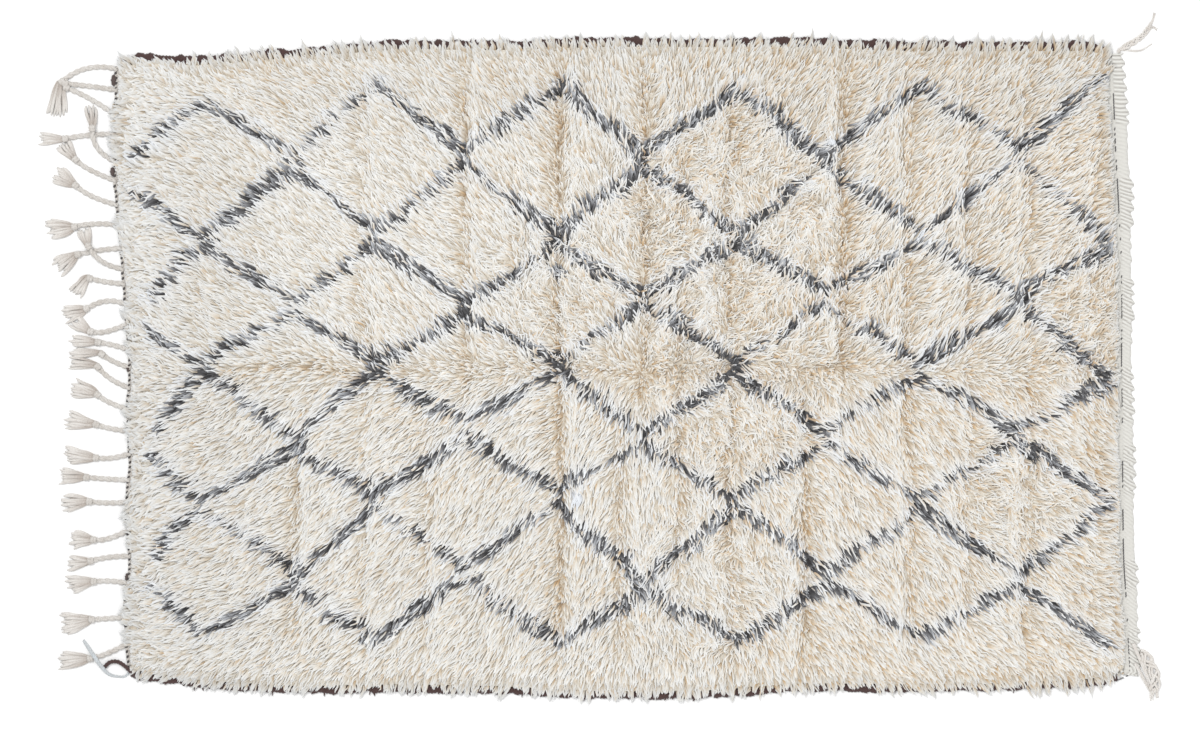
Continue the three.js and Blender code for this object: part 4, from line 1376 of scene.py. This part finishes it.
def heading_band():
    """The flat-woven band: slanted fat ribs by stretches, and faint ones between them."""
    x, y, outward = plan.rim("heading", BAND["step"])
    out = aimed(np.clip(outward, -0.1, 0.1))
    ends_y, ends_x = np.array(BAND_ENDS[::-1], float).T * MM
    reach = np.interp(y, ends_y, ends_x) - x
    ribbed, down = ribbing(y)[:, None], y[:, None]
    across = np.linspace(0, 1, BAND["across"])[None] * np.ones((len(y), 1))
    outer = across * reach[:, None]
    slant_y, slant = np.array(BAND_SLANT).T
    slope = np.interp(y, slant_y * MM, slant)[:, None]
    slanted = down + outer * slope + 2.2 * MM * noise(outer, down, 26, 70)
    phase = slanted / (BAND["pitch"] * MM) % 1 * 2 - 1
    ripple = np.sqrt(1 - phase**2)
    raised = ribbed * smoothstep(across, 0.36, 0.46)
    z = BAND["flat"] + raised * (BAND["rib"] * ripple - 1.4) + 0.35 * noise(outer, slanted, 5, 71)
    rolled = np.sqrt(np.clip(1 - np.clip((across - 0.86) / 0.14, 0, 1) ** 2, 0, 1))
    z = z * (0.25 + 0.75 * rolled)
    lap = (-down + 9 * MM * noise(y, y, 60, 73)[:, None]) / (BAND["scallop"] * MM) % 1
    scallop = BAND["lap"] * smoothstep(lap, 0, 0.72) * (1 - smoothstep(lap, 0.78, 1))
    bulge = ribbed * across**2 * (scallop + 1.6 * ripple - 1.2) * MM
    flat = np.stack([x, y], 1)[:, None] + out[:, None] * (0.5 * MM + outer + bulge)[..., None]
    top = np.concatenate([flat, z[..., None] * MM], -1)
    base = np.concatenate([flat, np.full_like(z, 0.3 * MM)[..., None]], -1)[:, ::-1]
    rings = np.concatenate([top, base], 1)[::-1]
    # Painted shade and light: darker in the valleys between the ribs and lighter on their tops; the
    # underside rings get a middle value.
    crest = 0.62 + 0.33 * np.cos(math.pi * phase) * np.clip(raised, 0.12 * across, 1)
    crest = np.concatenate([crest, np.full_like(crest, 0.4)], 1)[::-1]
    bundle = Bundle()
    bundle.add(rings.reshape(-1, 3), loft(*rings.shape[:2]), crest=crest.ravel())
    bundle.piece("heading_band", heading_material(), "warp_yarn", "heading")


def heading_thread():
    """The dark thread twined along the band: close turns by stretches, few between them."""
    bundle = Bundle()
    x, y, outward = plan.rim("heading", THREAD_LINE["pitch"])
    out = level(aimed(outward))
    along = level(turned(out))
    wander = THREAD_LINE["out"] * MM + 1.5 * MM * noise(x, y, 120, 72)
    random = np.random.default_rng(74)
    for k in range(len(x)):
        shown = any(low * MM < y[k] < high * MM for high, low in THREAD_SHOWN)
        if shown or random.uniform() < THREAD_LINE["stray_share"]:
            centre = np.array([x[k], y[k], THREAD_LINE["high"] * MM]) + out[k] * wander[k]
            bundle.add(*lobe(centre, along[k], out[k], THREAD_LINE))
    bundle.piece("heading_thread", yarn_material("thread_wool"), "dark_selvedge", "heading")


def heading_material():
    """Cream flat weave: fine picks across the band, shaded between the ribs."""
    nodes = Nodes("heading_weave")
    picks = nodes.math("MULTIPLY", nodes.wave(95.0, 1.6, "Y"), 0.5)
    height = nodes.math("MULTIPLY_ADD", nodes.noise(nodes.place(), 800.0), 0.6, picks)
    fine = nodes.math("MULTIPLY", height, 0.32)
    lit = nodes.math("MULTIPLY_ADD", nodes.attribute("crest"), 0.72, fine)
    return nodes.wool(nodes.ramp(lit, HEADING_COLOURS), height, 0.6, 0.0012, (0.8, 0.98))


# ---------------------------------------------------------------- corner tails


def braid(bundle, tail):
    """Adds strands that pass over each other in turn, loosely, flat on the floor."""
    centres = curve(tail["route"], 2.2)
    across = sideways(centres)
    run = run_along(centres)
    fade = 1 - 0.25 * (run / run[-1])
    strand = tail["strand"]
    sway = (tail["half"] - strand) * fade * (0.3 + 0.7 * smoothstep(run, 0, 32 * MM)) * MM
    for k in range(tail["count"]):
        stray = 1.1 * noise(run, np.full_like(run, 0.03 * k), 28, 82)
        turn = 2 * math.pi * (run / (tail["pitch"] * MM) + k / tail["count"]) + stray
        offset = across * (np.sin(turn) * sway)[:, None]
        offset[:, 2] += (1.5 + 0.5 * np.sin(2 * turn)) * strand * MM
        wide = (1 + 0.10 * np.cos(3 * turn)) * fade * strand * MM
        bundle.add(*tube(centres + offset, wide, 0.9 * fade * strand * MM))


def frays(bundle, tail, random):
    """Adds loose strands along each end that the braid frays into."""
    count, wide = tail["fray"]
    for route, spread in tail["ends"]:
        centres = curve(route, 4)
        across = sideways(centres)
        t = np.linspace(0, 1, len(centres))
        for _ in range(count):
            side = random.uniform(-1, 1)
            sway = side * spread * (0.6 + 0.5 * t) + random.normal(0, 0.8) * np.sin(5 * t + side)
            line = centres + across * (sway * MM)[:, None]
            line[:, 2] += (wide + random.uniform(0, 3) * (1 - 0.6 * t)) * MM
            size = wide * (1 - 0.6 * t) * MM
            bundle.add(*tube(line, size, size, 6))
            random.random(2)  # Skipped draws, which keep each later strand as it is.


def corner_tails():
    wool = yarn_material("tail_wool")
    random = np.random.default_rng(81)
    for corner, tail in TAILS.items():
        bundle = Bundle()
        braid(bundle, tail)
        frays(bundle, tail, random)
        bundle.piece(f"{corner}_tail_braid", wool, "warp_yarn", f"corner_tail_{corner}")


# ---------------------------------------------------------------- light, floor and camera


def stage():
    """A pale floor, a white sky and two soft lights from above."""
    corners = np.array([[-1, -1, 0], [1, -1, 0], [1, 1, 0], [-1, 1, 0]]) * FLOOR["half"]
    mesh = bpy.data.meshes.new("floor")
    mesh.from_pydata(corners.tolist(), [], [(0, 1, 2, 3)])
    nodes = Nodes("pale_floor")
    nodes.put(FLOOR["colour"], nodes.shader.inputs["Base Color"])
    nodes.put(FLOOR["roughness"], nodes.shader.inputs["Roughness"])
    mesh.materials.append(nodes.material)
    placed("floor", mesh)

    world = bpy.data.worlds.new("studio")
    world.use_nodes = True
    background = world.node_tree.nodes["Background"]
    background.inputs["Color"].default_value = (1, 1, 1, 1)
    background.inputs["Strength"].default_value = SKY_STRENGTH
    bpy.context.scene.world = world

    for name, lamp in LIGHTS.items():
        data = bpy.data.lights.new(name, "AREA")
        data.energy, data.size = lamp["power"], lamp["size"]
        light = placed(name, data)
        light.location = lamp["place"]
        light.rotation_euler = (-light.location).to_track_quat("-Z", "Y").to_euler()
    bpy.context.scene.view_settings.view_transform = "Standard"


def camera():
    """The camera, straight above the rug."""
    data = bpy.data.cameras.new("camera")
    data.lens = data.sensor_width * CAMERA_HEIGHT / VIEW_WIDTH
    data.clip_end = 100
    viewer = placed("camera", data)
    viewer.location = (VIEW_CENTRE[0] * MM, VIEW_CENTRE[1] * MM, CAMERA_HEIGHT * MM)
    bpy.context.scene.camera = viewer


# ---------------------------------------------------------------- the scene

ground()
foot()
pile()
selvedges()
fringe()
heading_band()
heading_thread()
corner_tails()
stage()
camera()
